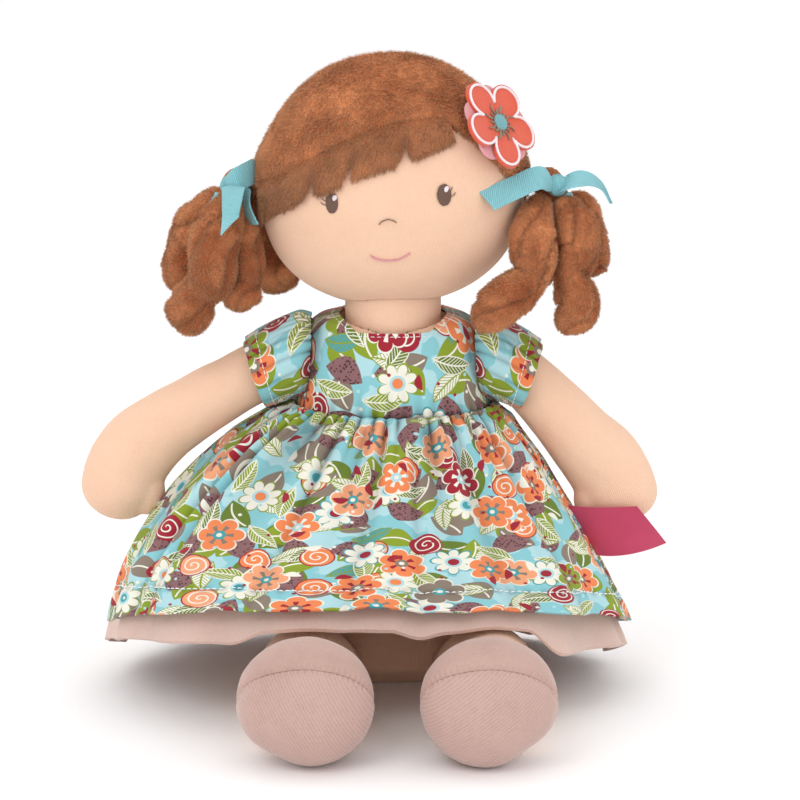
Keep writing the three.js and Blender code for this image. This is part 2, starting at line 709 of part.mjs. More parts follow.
// The half space in front of the shoe's sole seam, moved forward by a distance.
function soleSide(distance) {
  const reach = 3 * shoeWidth;
  const half = block([-reach, -2 * reach, -reach], [reach, 0, reach]).translate(0, -distance, 0);
  return half.rotateX(radians(soleTilt)).translate(0, -shoeForward, shoeHeight / 2 - hipHeight);
}

function buildShoe(group, name) {
  const form = cut(shoeForm(), floorBlock(-hipHeight, 3 * shoeForward));
  place(group, `${name}_shoe_sole`, cut(keepInside(form, soleSide(seam)), legForm(seam)), colours.shoe);
  place(group, `${name}_shoe_upper`, cut(form, soleSide(0), legForm(seam)), colours.shoe);
}

// The skirt's fall as a surface: u runs round from the left side, v climbs from the hem to the waist.
// Each quarter has its own pull: how far out, as a share, and how high the middle of the fall lies.
const fallShares = { left: [0.72, 0.42], back: [0.83, 0.63], right: [0.87, 0.665], front: [0.52, 0.3] };
function fallPull(c, s) {
  const weights = { left: Math.max(c, 0) ** 2, right: Math.min(c, 0) ** 2, back: Math.max(s, 0) ** 2,
    front: Math.min(s, 0) ** 2 };
  const pull = [0, 0];
  for (const [quarter, weight] of Object.entries(weights)) {
    pull[0] += weight * fallShares[quarter][0];
    pull[1] += weight * fallShares[quarter][1];
  }
  return pull;
}

function skirtSurface(u, v) {
  const [c, s] = [Math.cos(turn * u), Math.sin(turn * u)];
  const [hemC, hemS] = squaredCircle(u, hemPower);
  const waist = vector(c * waistWidth / 2, torsoBack + s * waistDepth / 2, waistHeight);
  const hem = vector(hemSide + hemC * hemWidth / 2, -hemForward + hemS * hemDepth / 2, 0);
  const forward = hem.y / (hemDepth / 2 + hemForward);
  hem.z = hemHeight - hemRise * Math.min(forward, 0) - hemFall * Math.max(forward, 0);
  const [out, up] = fallPull(c, s);
  const pull = vector(mix(waist.x, hem.x, out), mix(waist.y, hem.y, out), mix(hem.z, waist.z, up));
  const fallen = 1 - v;
  const point = waist.clone().multiplyScalar(v * v).addScaledVector(pull, 2 * v * fallen)
    .addScaledVector(hem, fallen * fallen);
  const wave = Math.cos(foldCount * turn * u + foldDrift * Math.sin(2 * turn * u));
  const fold = foldDepth / 2 * fallen ** 1.3 * wave;
  const away = hem.clone().sub(waist).setZ(0).normalize();
  return point.addScaledVector(away, fold);
}

// The underskirt runs inside the dress and on past its hem, and dips between and beside the legs.
function buildSkirts(group) {
  const halves = { front: [0.5, 1], back: [0, 0.5] };
  for (const [half, [start, end]] of Object.entries(halves)) {
    const trim = seam / hemWidth / 4;
    const around = (u) => mix(start + trim, end - trim, u);
    const outer = (u, v) => skirtSurface(around(u), v);
    const innerSkirt = outside(skirtSurface, -cotton);
    const inner = (u, v) => innerSkirt(around(u), v);
    place(group, `skirt_${half}`, clothForm(outer, inner, 34, 5), colours.print);
    const lining = (distance) => {
      const layer = outside(skirtSurface, -distance);
      return (u, v) => {
        const drop = underskirtDrop * (1 - v) ** 2;
        const at = around(u);
        const point = layer(at, v * underskirtTop);
        const dip = legDip * besideLegs(point.x, point.y) * (1 - v) ** 2;
        return point.setZ(point.z - drop - dip);
      };
    };
    const inside = cotton + layerEase;
    const cloth = clothForm(lining(inside), lining(inside + velour), 28, 5);
    place(group, `underskirt_${half}`, cloth, colours.velour);
  }
}

// 1 beside, between and behind the legs and 0 above them.
function besideLegs(x, y) {
  const nearest = Math.min(Math.abs(x - leftLegSide), Math.abs(x - rightLegSide));
  const aside = smooth(nearest, legWidth * 0.4, legWidth * 0.8);
  return Math.max(aside, smooth(y, -2 * hipForward, -hipForward));
}

// Where the middle of the tag is sewn in: round the skirt and up its fall.
const tagShares = [0.985, 0.4];

// A woven tag held in the left side seam: it leaves the skirt and bends forward, clear of the hand.
function buildTag(group) {
  const [around, middle] = tagShares;
  const fall = skirtSurface(around, 0).distanceTo(skirtSurface(around, 1));
  const root = (v) => skirtSurface(around, middle + (v - 1 / 2) * tagWidth / fall);
  const surface = (u, v) => {
    const at = root(v);
    const bend = tagBend * tagLength * (1 - Math.exp(-3 * u));
    return vector(at.x + 2 * seam + u * tagLength, at.y - bend, at.z);
  };
  const layer = (u, v) => surface(u, v).add(vector(0, -tagThick, 0));
  place(group, 'side_tag', clothForm(layer, surface, 6, 1), colours.tag);
}

// One curl: a sausage of plush that winds as a spiral about its route.
function curlForm(route, extra, phase) {
  const [columns, rows, steps] = [7, 16, 64];
  const wave = (share) => curlWave * Math.min(1, 3 * share) * Math.min(1, 4 * (1 - share));
  const spiral = new THREE.CatmullRomCurve3(Array.from({ length: steps + 1 }, (unused, step) => {
    const share = step / steps;
    const angle = turn * (curlTurns * share + phase);
    return route.getPoint(share).add(vector(Math.cos(angle), Math.sin(angle), 0).multiplyScalar(wave(share)));
  }));
  const width = (share) => curlWidth * mix(0.62, 1, smooth(share, 0, 0.3));
  return stuffedTube({ route: spiral, width, depth: width, columns, rows, upward: vector(0, 1, 0),
    roundStart: 0.08, roundEnd: 0.14, extra });
}

// Routes from the tie, in shares of the curl's hang: (out from the head, back, down).
const rightCurls = {
  front: [[0.01, -0.13, 0.04], [0.09, -0.31, 0.21], [0.15, -0.39, 0.39], [0.19, -0.39, 0.58],
    [0.28, -0.32, 0.75], [0.37, -0.26, 0.94]],
  outer: [[0.1, 0, 0.05], [0.26, 0.06, 0.21], [0.37, 0.08, 0.43], [0.36, 0.05, 0.62], [0.27, 0, 0.76]],
  middle: [[0.02, -0.1, 0.06], [0, -0.16, 0.23], [-0.05, -0.18, 0.43], [-0.04, -0.24, 0.62],
    [-0.02, -0.31, 0.8]],
  rear: [[0.04, 0.08, 0.06], [0.02, 0.38, 0.25], [-0.12, 0.46, 0.44], [-0.24, 0.34, 0.6],
    [-0.32, 0.2, 0.72]],
};
const leftCurls = {
  front: [[-0.06, -0.16, 0.06], [-0.11, -0.36, 0.23], [-0.12, -0.45, 0.4], [-0.17, -0.52, 0.57],
    [-0.31, -0.58, 0.69], [-0.46, -0.61, 0.83]],
  outer: [[0.1, -0.1, 0.08], [0.16, -0.22, 0.22], [0.19, -0.27, 0.37], [0.15, -0.31, 0.55],
    [0.18, -0.32, 0.74], [0.1, -0.32, 0.95]],
  middle: [[0.14, 0.06, 0.08], [0.23, 0.1, 0.24], [0.3, 0.11, 0.43], [0.27, 0.1, 0.64]],
  rear: [[0.04, 0.08, 0.06], [0.05, 0.34, 0.28], [-0.02, 0.38, 0.5], [-0.06, 0.32, 0.74]],
};

function curlRoute(side, shares) {
  const points = shares.map(([out, back, down]) => vector(side * out * curlHang, back * curlHang,
    -down * curlHang));
  return new THREE.CatmullRomCurve3(points);
}

// How far each curl's spiral starts round from the one before it, as a share of a turn.
const phaseShare = 0.3;
function buildCurls(group, name, side, curls, ribbon) {
  const made = [bunchRoot(side, seam), ribbon];
  let phase = 0;
  for (const [spot, shares] of Object.entries(curls)) {
    const route = curlRoute(side, shares);
    place(group, `${name}_curl_${spot}`, cut(curlForm(route, 0, phase), ...made), colours.hair);
    made.push(curlForm(route, seam, phase));
    phase += phaseShare;
  }
}

// The gathered root of a bunch: a ball in the hair's socket and a stalk that the ribbon ties.
const stalkShares = [0.55, -0.2, -0.81];
function stalkWay(side) {
  return vector(side * stalkShares[0], stalkShares[1], stalkShares[2]).normalize();
}

function alongStalk(geometry, side) {
  const turned = new THREE.Quaternion().setFromUnitVectors(vector(0, 1, 0), stalkWay(side));
  return geometry.applyQuaternion(turned);
}

function bunchRoot(side, extra) {
  const [reach, length] = [stalkWidth / 2 + extra, stalkLength + extra];
  const stalk = new THREE.CylinderGeometry(reach, reach, length, 14).translate(0, length / 2, 0);
  return join(ball(tieWidth / 2 + extra, 14, 8), alongStalk(stalk, side));
}

// Ribbon along a route, its width lying across. It grows by extra all round.
function ribbonStrip(side, shares, across, extra) {
  const points = shares.map(([out, back, up]) => vector(side * out * tailLength, back * tailLength,
    up * tailLength));
  const route = new THREE.CatmullRomCurve3(points);
  const layer = (lift) => (u, v) => {
    const wide = vector(side * across[0], across[1], across[2]).normalize();
    const tangent = route.getTangent(v);
    const up = tangent.clone().cross(wide).normalize();
    const aside = (u - 1 / 2) * (ribbonWidth + 2 * extra);
    return route.getPoint(v).addScaledVector(wide, aside).addScaledVector(up, lift)
      .addScaledVector(tangent, mix(-extra, extra, v));
  };
  const half = ribbonThick / 2 + extra;
  return clothForm(layer(half), layer(-half), 1, 7);
}

// Each ribbon's strips: a route in shares of a tail's length, and the way its width lies.
const rightRibbonShares = [
  [[[0.25, -0.44, -0.3], [0.16, -0.7, 0.1], [-0.04, -0.86, 0.42], [-0.12, -0.94, 0.3], [0.08, -0.64, -0.12]],
    [0.3, 0.4, 0.9]],
  [[[0.25, -0.44, -0.3], [0.3, -0.72, -0.32], [0.42, -0.95, -0.7], [0.5, -1.05, -1.12]], [1, 0.2, -0.1]],
  [[[0.2, -0.5, -0.3], [0, -0.82, -0.5], [-0.28, -1.1, -0.92]], [0.95, 0, 0.35]],
];
const leftRibbonShares = [
  [[[0.25, -0.46, -0.28], [-0.1, -0.95, -0.02], [-0.6, -1.4, -0.08], [-1.2, -1.85, -0.32]], [0.15, 0.3, 0.9]],
  [[[0.3, -0.46, -0.28], [0.55, -0.6, 0.12], [0.95, -0.5, 0.2], [1.4, -0.4, -0.14]], [0.1, 0.3, 0.9]],
];

function ribbonForm(side, strips, extra) {
  const inner = stalkWidth / 2 + seam - extra;
  const outer = stalkWidth / 2 + seam + bandThick + extra;
  const [low, high] = [tieWidth / 2 + seam - extra, stalkLength - 2 * seam + extra];
  const outline = [[inner, low], [outer, low], [outer, high], [inner, high], [inner, low]];
  const band = new THREE.LatheGeometry(outline.map(([x, y]) => new THREE.Vector2(x, y)), 14);
  const pieces = strips.map(([shares, across]) => ribbonStrip(side, shares, across, extra));
  return join(alongStalk(band, side), ...pieces);
}

function buildRibbon(group, name, side, strips) {
  const tied = cut(ribbonForm(side, strips, 0), bunchRoot(side, seam));
  place(group, `${name}_ribbon`, tied, colours.ribbon);
}

function buildBunch(group, name, side, curls, strips) {
  place(group, `${name}_bunch_root`, bunchRoot(side, 0), colours.hair);
  buildRibbon(group, name, side, strips);
  buildCurls(group, name, side, curls, ribbonForm(side, strips, seam));
}

const doll = new THREE.Group();
const groups = {};
function bodyAt(name, x, y, z, lean = 0) {
  groups[name] = new THREE.Group();
  groups[name].position.set(x, y, z);
  groups[name].rotation.y = lean;
  doll.add(groups[name]);
  return groups[name];
}

const torso = bodyAt('torso', 0, 0, 0);
buildTorso(torso);
buildBodice(torso);
buildSkirts(torso);
buildTag(torso);
place(bodyAt('neck', 0, 0, 0), 'neck', neckForm(), colours.skin);
buildHead(bodyAt('head', headSide, 0, headMiddle, radians(headLean)));
for (const [name, arm] of Object.entries({ right: rightArm, left: leftArm })) {
  const shoulder = bodyAt(`${name}Arm`, 0, 0, shoulderHeight);
  buildArm(shoulder, name, arm);
  buildSleeve(shoulder, name, arm);
}
for (const [name, side] of Object.entries({ right: rightLegSide, left: leftLegSide })) {
  const hip = bodyAt(`${name}Leg`, side, -hipForward, hipHeight);
  buildLeg(hip, name);
  buildShoe(hip, name);
}
const bunches = {
  right: [rightTieSide, -1, rightCurls, rightRibbonShares],
  left: [leftTieSide, 1, leftCurls, leftRibbonShares],
};
for (const [name, [at, side, curls, strips]] of Object.entries(bunches)) {
  buildBunch(bodyAt(`${name}Bunch`, at, tieForward, tieHeight), name, side, curls, strips);
}

export default doll;
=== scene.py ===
import bmesh
import bpy
import numpy as np
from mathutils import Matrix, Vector


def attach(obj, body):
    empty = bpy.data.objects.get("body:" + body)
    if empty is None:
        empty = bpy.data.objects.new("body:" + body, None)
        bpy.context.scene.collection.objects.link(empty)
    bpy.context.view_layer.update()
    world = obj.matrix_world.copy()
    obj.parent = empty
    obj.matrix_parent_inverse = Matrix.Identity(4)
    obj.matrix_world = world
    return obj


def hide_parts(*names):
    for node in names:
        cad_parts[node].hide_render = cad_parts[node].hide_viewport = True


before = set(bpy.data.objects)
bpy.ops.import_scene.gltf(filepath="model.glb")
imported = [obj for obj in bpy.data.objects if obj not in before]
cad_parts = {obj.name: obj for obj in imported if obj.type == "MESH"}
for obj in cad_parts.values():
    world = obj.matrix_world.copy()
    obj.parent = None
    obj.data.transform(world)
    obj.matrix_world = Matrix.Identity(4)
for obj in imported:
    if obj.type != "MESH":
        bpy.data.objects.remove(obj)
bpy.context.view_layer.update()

print("frame loaded:", len(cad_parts), "nodes")

mm = 0.001
turn = 2 * np.pi
seam = 0.3  # between neighbouring pieces, in millimetres as every length below
weldReach = 2e-3  # points nearer than this are made one
bothSides = {"right": -1, "left": 1}  # the doll's own right lies towards -X


# Ways to work out a form

# Three numbers, or arrays of them, as one array of points.
def vector(x, y, z):
    return np.stack(np.broadcast_arrays(np.asarray(x, float), y, z), -1)


# Two arrays as one array of flat places.
def laidFlat(across, along):
    return np.stack(np.broadcast_arrays(across, along), -1)


# Even shares from 0 to 1, one to each row of a grid, or one to each column.
def rowShares(count):
    return np.linspace(0, 1, count)[:, None]


def columnShares(count):
    return np.linspace(0, 1, count)[None]


def unit(arrows):
    return arrows / np.maximum(np.linalg.norm(arrows, axis=-1, keepdims=True), 1e-12)


def blend(first, second, share):
    return first + (second - first) * share


# 0 below low, 1 above high, and 3 s^2 - 2 s^3 between them.
def smooth(values, low, high):
    share = np.clip((np.asarray(values, float) - low) / (high - low), 0, 1)
    return share * share * (3 - 2 * share)


# A curve through points: each span is a cubic whose ends lean as the spans beside it do, weighed by the
# square roots of their lengths. The shares run evenly over the spans.
def curveThrough(points, shares):
    points = np.asarray(points, float)
    rows = np.vstack([2 * points[0] - points[1], points, 2 * points[-1] - points[-2]])
    place = np.clip(np.asarray(shares, float), 0, 1) * (len(points) - 1)
    span = np.minimum(place.astype(int), len(points) - 2)
    way = (place - span)[..., None]
    a, b, c, d = (rows[span + step] for step in range(4))
    before, here, after = (np.linalg.norm(q - p, axis=-1, keepdims=True) ** 0.5
                           for p, q in ((a, b), (b, c), (c, d)))
    start = ((b - a) / before - (c - a) / (before + here) + (c - b) / here) * here
    end = ((c - b) / here - (d - b) / (here + after) + (d - c) / after) * here
    return (b + start * way + (-3 * b + 3 * c - 2 * start - end) * way ** 2
            + (2 * b - 2 * c + start + end) * way ** 3)


# A squared-off circle: at each true angle the reach is (|cos|^p + |sin|^p)^(-1/p).
def squaredCircle(share, power):
    c, s = np.cos(turn * share), np.sin(turn * share)
    reach = (np.abs(c) ** power + np.abs(s) ** power) ** (-1 / power)
    return c * reach, s * reach


# Smooth unevenness between about -1 and 1: sine waves in seeded directions, each finer set half as strong.
def unevenness(points, size, seed, octaves=3):
    random = np.random.default_rng(seed)
    total = 0
    for octave in range(octaves):
        ways = unit(random.normal(size=(5, 3))) * turn * 2 ** octave / size
        total = total + np.sin(points @ ways.T + random.uniform(0, turn, 5)).sum(-1) / 3.2 / 2 ** octave
    return total / 1.6


# The way out of a grid of points: across the rows times along them. A round grid's last column is its first.
def outwards(points, isRound=False):
    if isRound:
        wide = np.concatenate([points[:, -2:-1], points, points[:, 1:2]], 1)
        around = wide[:, 2:] - wide[:, :-2]
    else:
        around = np.gradient(points, axis=1)
    return unit(np.cross(around, np.gradient(points, axis=0)))


# The ways out, turned round where they point at the middle.
def pointedAway(out, points, middle):
    return np.where(np.sum(out * (points - middle), -1, keepdims=True) < 0, -out, out)


# Arrows to all sides of a ball, by their rise and the way round.
def ballArrows(rise, way):
    return vector(np.cos(way) * np.cos(rise), np.sin(way) * np.cos(rise), np.sin(rise))


# How far along a line each of its points lies.
def lengthAlong(line):
    return np.concatenate([[0], np.cumsum(np.linalg.norm(np.diff(line, axis=0), axis=1))])


def evenFlat(points):
    v, u = np.mgrid[0:1:points.shape[0] * 1j, 0:1:points.shape[1] * 1j]
    return np.stack([u, v], -1)


# A grid of points (rows, columns) as corners, faces and flat places. Those of cloth are in millimetres.
def gridShape(points, flat=None, flipped=False):
    rows, columns = points.shape[:2]
    corner = np.arange(rows * columns).reshape(rows, columns)
    faces = np.stack([corner[:-1, :-1], corner[:-1, 1:], corner[1:, 1:], corner[1:, :-1]], -1).reshape(-1, 4)
    if flat is None:
        flat = evenFlat(points)
    return {"points": points.reshape(-1, 3), "faces": faces[:, ::-1] if flipped else faces,
            "flat": flat.reshape(-1, 2), "marks": {}}


def together(*shapes):
    first = np.cumsum([0] + [len(shape["points"]) for shape in shapes])
    names = {name for shape in shapes for name in shape["marks"]}
    return {
        "points": np.concatenate([shape["points"] for shape in shapes]),
        "faces": np.concatenate([shape["faces"] + start for shape, start in zip(shapes, first)]),
        "flat": np.concatenate([shape["flat"] for shape in shapes]),
        "marks": {name: np.concatenate([shape["marks"].get(name, np.zeros(len(shape["points"])))
                                        for shape in shapes]) for name in names},
    }


# Cloth between an outer and an inner grid, with its cut edges closed. The optional mark is painted shade: how
# much the print is darkened in folds, puckers and by the armholes.
def clothShape(outer, inner, flat, isRound=False, valley=None):
    def rim(a, b, flatEdge):
        return gridShape(np.stack([a, b]), np.stack([flatEdge, flatEdge]))
    shapes = [gridShape(outer, flat), gridShape(inner, flat, flipped=True), rim(inner[0], outer[0], flat[0]),
              rim(outer[-1], inner[-1], flat[-1])]
    if not isRound:
        shapes += [rim(outer[:, 0], inner[:, 0], flat[:, 0]), rim(inner[:, -1], outer[:, -1], flat[:, -1])]
    if valley is not None:
        shapes[0]["marks"]["valley"] = np.broadcast_to(valley, outer.shape[:2]).ravel()
    return together(*shapes)


# Rings of points closed at both ends: each end gets one more row, all at the middle of its ring.
def capped(points, flat=None):
    if flat is None:
        flat = evenFlat(points)
    ends = [np.repeat(ring[:-1].mean(0)[None, None], points.shape[1], 1) for ring in (points[0], points[-1])]
    return gridShape(np.concatenate([ends[0], points, ends[1]]), np.concatenate([flat[:1], flat, flat[-1:]]))


# The sideways arrows of a tube at each step of its line, carried along without twisting.
def carriedSides(ahead, upward):
    sides = [unit(np.cross(upward, ahead[0]))]
    for way in ahead[1:]:
        side = sides[-1] - way * np.dot(sides[-1], way)
        sides.append(side / np.linalg.norm(side))
    return np.array(sides)


def aheadOf(line):
    return unit(np.gradient(line, axis=0))


# Rings round a line: the ring at a step lies square to the line, and its reach is given for each ring and
# each place round it.
def ringsRound(line, reach, columns, upward, squash=1.0):
    ahead = aheadOf(line)
    side = carriedSides(ahead, np.asarray(upward, float))
    up = np.cross(ahead, side)
    angle = turn * np.linspace(0, 1, columns + 1)
    reach = np.broadcast_to(reach, (len(line), columns + 1))[..., None]
    squash = np.broadcast_to(np.asarray(squash, float).reshape(-1, 1, 1), (len(line), 1, 1))
    return (line[:, None] + reach * (np.cos(angle)[:, None] * side[:, None]
                                     + squash * np.sin(angle)[:, None] * up[:, None]))


# Rounds the ends of a tube: the reach falls as a quarter circle over the given shares of its length.
def roundedEnds(share, start, end):
    first = np.clip(share / start, 0, 1) if start else 1
    last = np.clip((1 - share) / end, 0, 1) if end else 1
    return np.sqrt(1 - (1 - first) ** 2) * np.sqrt(1 - (1 - last) ** 2)


def evenedSteps(rows, share=1.0):
    even = np.linspace(0, 1, rows)
    return blend(even, (1 - np.cos(np.pi * even)) / 2, share)


# Ways to make a piece

def newObject(name, data):
    thing = bpy.data.objects.new(name, data)
    bpy.context.scene.collection.objects.link(thing)
    return thing


def writeMark(mesh, label, values):
    mesh.attributes.new(label, "FLOAT", "POINT").data.foreach_set("value", values.astype(np.float32))


def smoothed(mesh):
    mesh.polygons.foreach_set("use_smooth", np.ones(len(mesh.polygons), bool))
    return mesh


# A mesh of a shape, with its doubles made one and its faces outwards.
def newMesh(name, shape):
    mesh = bpy.data.meshes.new(name)
    mesh.from_pydata((shape["points"] * mm).tolist(), [], shape["faces"].tolist())
    layer = mesh.uv_layers.new(name="flat")
    corner = np.empty(len(mesh.loops), np.int32)
    mesh.loops.foreach_get("vertex_index", corner)
    layer.data.foreach_set("uv", shape["flat"][corner].astype(np.float32).ravel())
    for label, values in shape["marks"].items():
        writeMark(mesh, label, values)
    work = bmesh.new()
    work.from_mesh(mesh)
    bmesh.ops.remove_doubles(work, verts=work.verts, dist=weldReach * mm)
    if work.calc_volume(signed=True) < 0:
        bmesh.ops.reverse_faces(work, faces=work.faces)
    work.to_mesh(mesh)
    work.free()
    return smoothed(mesh)


# A finished piece on its body: it may stand for CAD nodes and takes the finish it is given.
def addPiece(name, shape, material, body, nodes=(), sharp=None):
    mesh = shape if isinstance(shape, bpy.types.Mesh) else newMesh(name, shape)
    if sharp:
        mesh.set_sharp_from_angle(angle=np.radians(sharp))
    piece = newObject(name, mesh)
    mesh.materials.clear()
    mesh.materials.append(material)
    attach(piece, body)
    if nodes:
        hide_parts(*nodes)
    return piece


# Stitches along a line: each is a short thread that rises out of the cloth and goes back in. Its lift is
# a sine over its length and its reach narrows towards both ends.
def stitches(line, out, pitch=3.0, share=0.72, thread=0.32, lift=0.25, columns=5, rows=6):
    gone = lengthAlong(line)
    count = max(int(gone[-1] / pitch), 1)
    place = (np.arange(count)[:, None] + share * np.linspace(0, 1, rows)) * gone[-1] / count
    at = np.stack([np.interp(place, gone, line[:, axis]) for axis in range(3)], -1)
    up = unit(np.stack([np.interp(place, gone, out[:, axis]) for axis in range(3)], -1))
    arch = np.sin(np.pi * np.linspace(0, 1, rows))[None, :, None]
    at = at + up * lift * arch
    ahead = unit(np.gradient(at, axis=1))
    side = unit(np.cross(up, ahead))
    angle = turn * np.linspace(0, 1, columns, endpoint=False)
    reach = (thread / 2 * (0.25 + 0.75 * arch ** 0.5))[..., None]
    return tiledTubes(threadRings(at, side, up, reach, angle))


# Rings round many threads (thread, step), spread by their sideways and upward arrows.
def threadRings(at, side, up, reach, angle):
    return at[:, :, None] + reach * (np.cos(angle)[:, None] * side[:, :, None]
                                     + np.sin(angle)[:, None] * up[:, :, None])


# Many small closed tubes from an array of rings (tube, row, column): sides as quads and both ends as fans.
def tiledTubes(rings):
    count, rows, columns = rings.shape[:3]
    ends = rings[:, [0, -1]].mean(2)
    points = np.concatenate([rings.reshape(count, -1, 3), ends], 1)
    corner = np.arange(rows * columns).reshape(rows, columns)
    nextOne = np.roll(corner, -1, 1)
    sides = np.stack([corner[:-1], nextOne[:-1], nextOne[1:], corner[1:]], -1).reshape(-1, 4)
    low, high = rows * columns, rows * columns + 1
    first = np.stack([np.full(columns, low), nextOne[0], corner[0], np.full(columns, low)], -1)
    last = np.stack([np.full(columns, high), corner[-1], nextOne[-1], np.full(columns, high)], -1)
    one = np.concatenate([sides, first, last])
    faces = (one[None] + (np.arange(count) * points.shape[1])[:, None, None]).reshape(-1, 4)
    points = points.reshape(-1, 3)
    return {"points": points, "faces": faces, "flat": np.zeros((len(points), 2)), "marks": {}}


# Fibres of plush: slim closed spikes rooted at random places on a grid, as many on every square millimetre.
# Each leans from the cloth's way out towards the lie of the pile, no two alike. The shade mark is a random
# tone, less any painted shade given on the grid for folds, creases and notches.
def pileMesh(name, points, out, lie, perSquare, length, width, lean, seed, scatter=0.25, sunk=0.3, most=49000,
             paintedPileShade=None):
    random = np.random.default_rng(seed)
    corners = [points[:-1, :-1], points[:-1, 1:], points[1:, 1:], points[1:, :-1]]
    area = (np.linalg.norm(np.cross(corners[2] - corners[0], corners[3] - corners[1]), axis=-1) / 2).ravel()
    count = min(int(area.sum() * perSquare), most)
    quad = random.choice(area.size, count, p=area / area.sum())
    row, column = quad // (points.shape[1] - 1), quad % (points.shape[1] - 1)
    s, t = random.random((2, count, 1))

    def between(grid):
        return blend(blend(grid[row, column], grid[row, column + 1], s),
                     blend(grid[row + 1, column], grid[row + 1, column + 1], s), t)
    up = unit(between(out))
    along = unit(between(lie))
    wild = random.normal(size=(count, 3)) * scatter
    way = unit(up * (1 - lean) + along * lean + wild)
    long = length * random.uniform(0.75, 1.15, (count, 1))
    root = between(points) - up * sunk
    tip = root + way * (long + sunk)
    first = unit(np.cross(way, up + 1e-3))
    second = np.cross(way, first)
    angle = turn * np.arange(3) / 3 + random.uniform(0, turn, (count, 1))
    base = root[:, None] + width / 2 * (np.cos(angle)[..., None] * first[:, None]
                                        + np.sin(angle)[..., None] * second[:, None])
    spikes = np.concatenate([base, tip[:, None]], 1).reshape(-1, 3)
    one = np.array([[0, 1, 3], [1, 2, 3], [2, 0, 3], [0, 2, 1]])
    faces = (one[None] + 4 * np.arange(count)[:, None, None]).reshape(-1, 3)
    mesh = bpy.data.meshes.new(name)
    mesh.vertices.add(len(spikes))
    mesh.vertices.foreach_set("co", (spikes * mm).astype(np.float32).ravel())
    mesh.loops.add(faces.size)
    mesh.loops.foreach_set("vertex_index", faces.astype(np.int32).ravel())
    mesh.polygons.add(len(faces))
    mesh.polygons.foreach_set("loop_start", np.arange(0, faces.size, 3, dtype=np.int32))
    mesh.update(calc_edges=True)
    shade = random.random(count)
    # The shade mark: a random tone for each fibre, darkened by the painted shade of folds, creases and
    # notches
    if paintedPileShade is not None:
        shade = shade - 2 * between(np.broadcast_to(paintedPileShade[..., None], points.shape[:2] + (1,)))[:, 0]
    writeMark(mesh, "shade", np.repeat(shade, 4))
    writeMark(mesh, "tip", np.tile([0.0, 0, 0, 1], count))
    return smoothed(mesh)


# Ways to make a finish

# A colour by its red, green and blue as a screen shows them, 0 to 255.
def paint(red, green, blue):
    share = np.array((red, green, blue)) / 255
    linear = np.where(share <= 0.04045, share / 12.92, ((share + 0.055) / 1.055) ** 2.4)
    return (*linear.tolist(), 1.0)


# An output of a node that can be counted with: its sums and products become Math nodes of the same tree.
class Wire:
    def __init__(self, tree, socket):
        self.tree = tree
        self.socket = socket

    def __add__(self, other):
        return calc("ADD", self, other)

    def __sub__(self, other):
        return calc("SUBTRACT", self, other)

    def __rsub__(self, other):
        return calc("SUBTRACT", other, self)

    def __mul__(self, other):
        return calc("MULTIPLY", self, other)

    def __truediv__(self, other):
        return calc("DIVIDE", self, other)

    def __rtruediv__(self, other):
        return calc("DIVIDE", other, self)


def treeOf(*values):
    return next(value.tree for value in values if isinstance(value, Wire))


def nodeIn(tree, kind, **settings):
    node = tree.nodes.new(kind)
    for label, value in settings.items():
        setattr(node, label, value)
    return node


def feed(socket, value):
    if isinstance(value, Wire):
        value.tree.links.new(value.socket, socket)
    else:
        socket.default_value = value


def calc(operation, *values, clamp=False):
    tree = treeOf(*values)
    node = nodeIn(tree, "ShaderNodeMath", operation=operation, use_clamp=clamp)
    for socket, value in zip(node.inputs, values):
        feed(socket, value)
    return Wire(tree, node.outputs[0])


def calcVector(operation, *values, scale=None):
    tree = treeOf(*values, scale)
    node = nodeIn(tree, "ShaderNodeVectorMath", operation=operation)
    for socket, value in zip(node.inputs, values):
        feed(socket, value)
    if scale is not None:
        feed(node.inputs["Scale"], scale)
    return Wire(tree, node.outputs["Value" if operation == "LENGTH" else "Vector"])


def mixColours(share, first, second, way="MIX"):
    node = nodeIn(share.tree, "ShaderNodeMix", data_type="RGBA", blend_type=way)
    for step, value in {0: share, 6: first, 7: second}.items():
        feed(node.inputs[step], value)
    return Wire(share.tree, node.outputs[2])


def noise(place, scale, detail=2.0, roughness=0.5):
    node = nodeIn(place.tree, "ShaderNodeTexNoise")
    for label, value in {"Vector": place, "Scale": scale, "Detail": detail, "Roughness": roughness}.items():
        feed(node.inputs[label], value)
    return Wire(place.tree, node.outputs["Fac"])


# The first two numbers of a place.
def apart(place):
    node = nodeIn(place.tree, "ShaderNodeSeparateXYZ")
    feed(node.inputs[0], place)
    return Wire(place.tree, node.outputs[0]), Wire(place.tree, node.outputs[1])


def rotated(place, angle):
    node = nodeIn(place.tree, "ShaderNodeVectorRotate", rotation_type="Z_AXIS")
    feed(node.inputs["Vector"], place)
    feed(node.inputs["Angle"], angle)
    return Wire(place.tree, node.outputs[0])


# One of several colours by a share from 0 to 1.
def pickColour(share, colours):
    node = nodeIn(share.tree, "ShaderNodeValToRGB")
    node.color_ramp.interpolation = "CONSTANT"
    stops = node.color_ramp.elements
    while len(stops) < len(colours):
        stops.new(0.5)
    for step, colour in enumerate(colours):
        stops[step].position = step / len(colours)
        stops[step].color = colour
    feed(node.inputs[0], share)
    return Wire(share.tree, node.outputs[0])


def newGroup(name, inputs, outputs):
    tree = bpy.data.node_groups.new(name, "ShaderNodeTree")
    kinds = {"value": "NodeSocketFloat", "colour": "NodeSocketColor", "place": "NodeSocketVector"}
    for side, sockets in {"INPUT": inputs, "OUTPUT": outputs}.items():
        for label, kind in sockets.items():
            tree.interface.new_socket(name=label, in_out=side, socket_type=kinds[kind])
    start = tree.nodes.new("NodeGroupInput").outputs
    given = {label: Wire(tree, start[label]) for label in inputs}
    return tree, given, tree.nodes.new("NodeGroupOutput").inputs


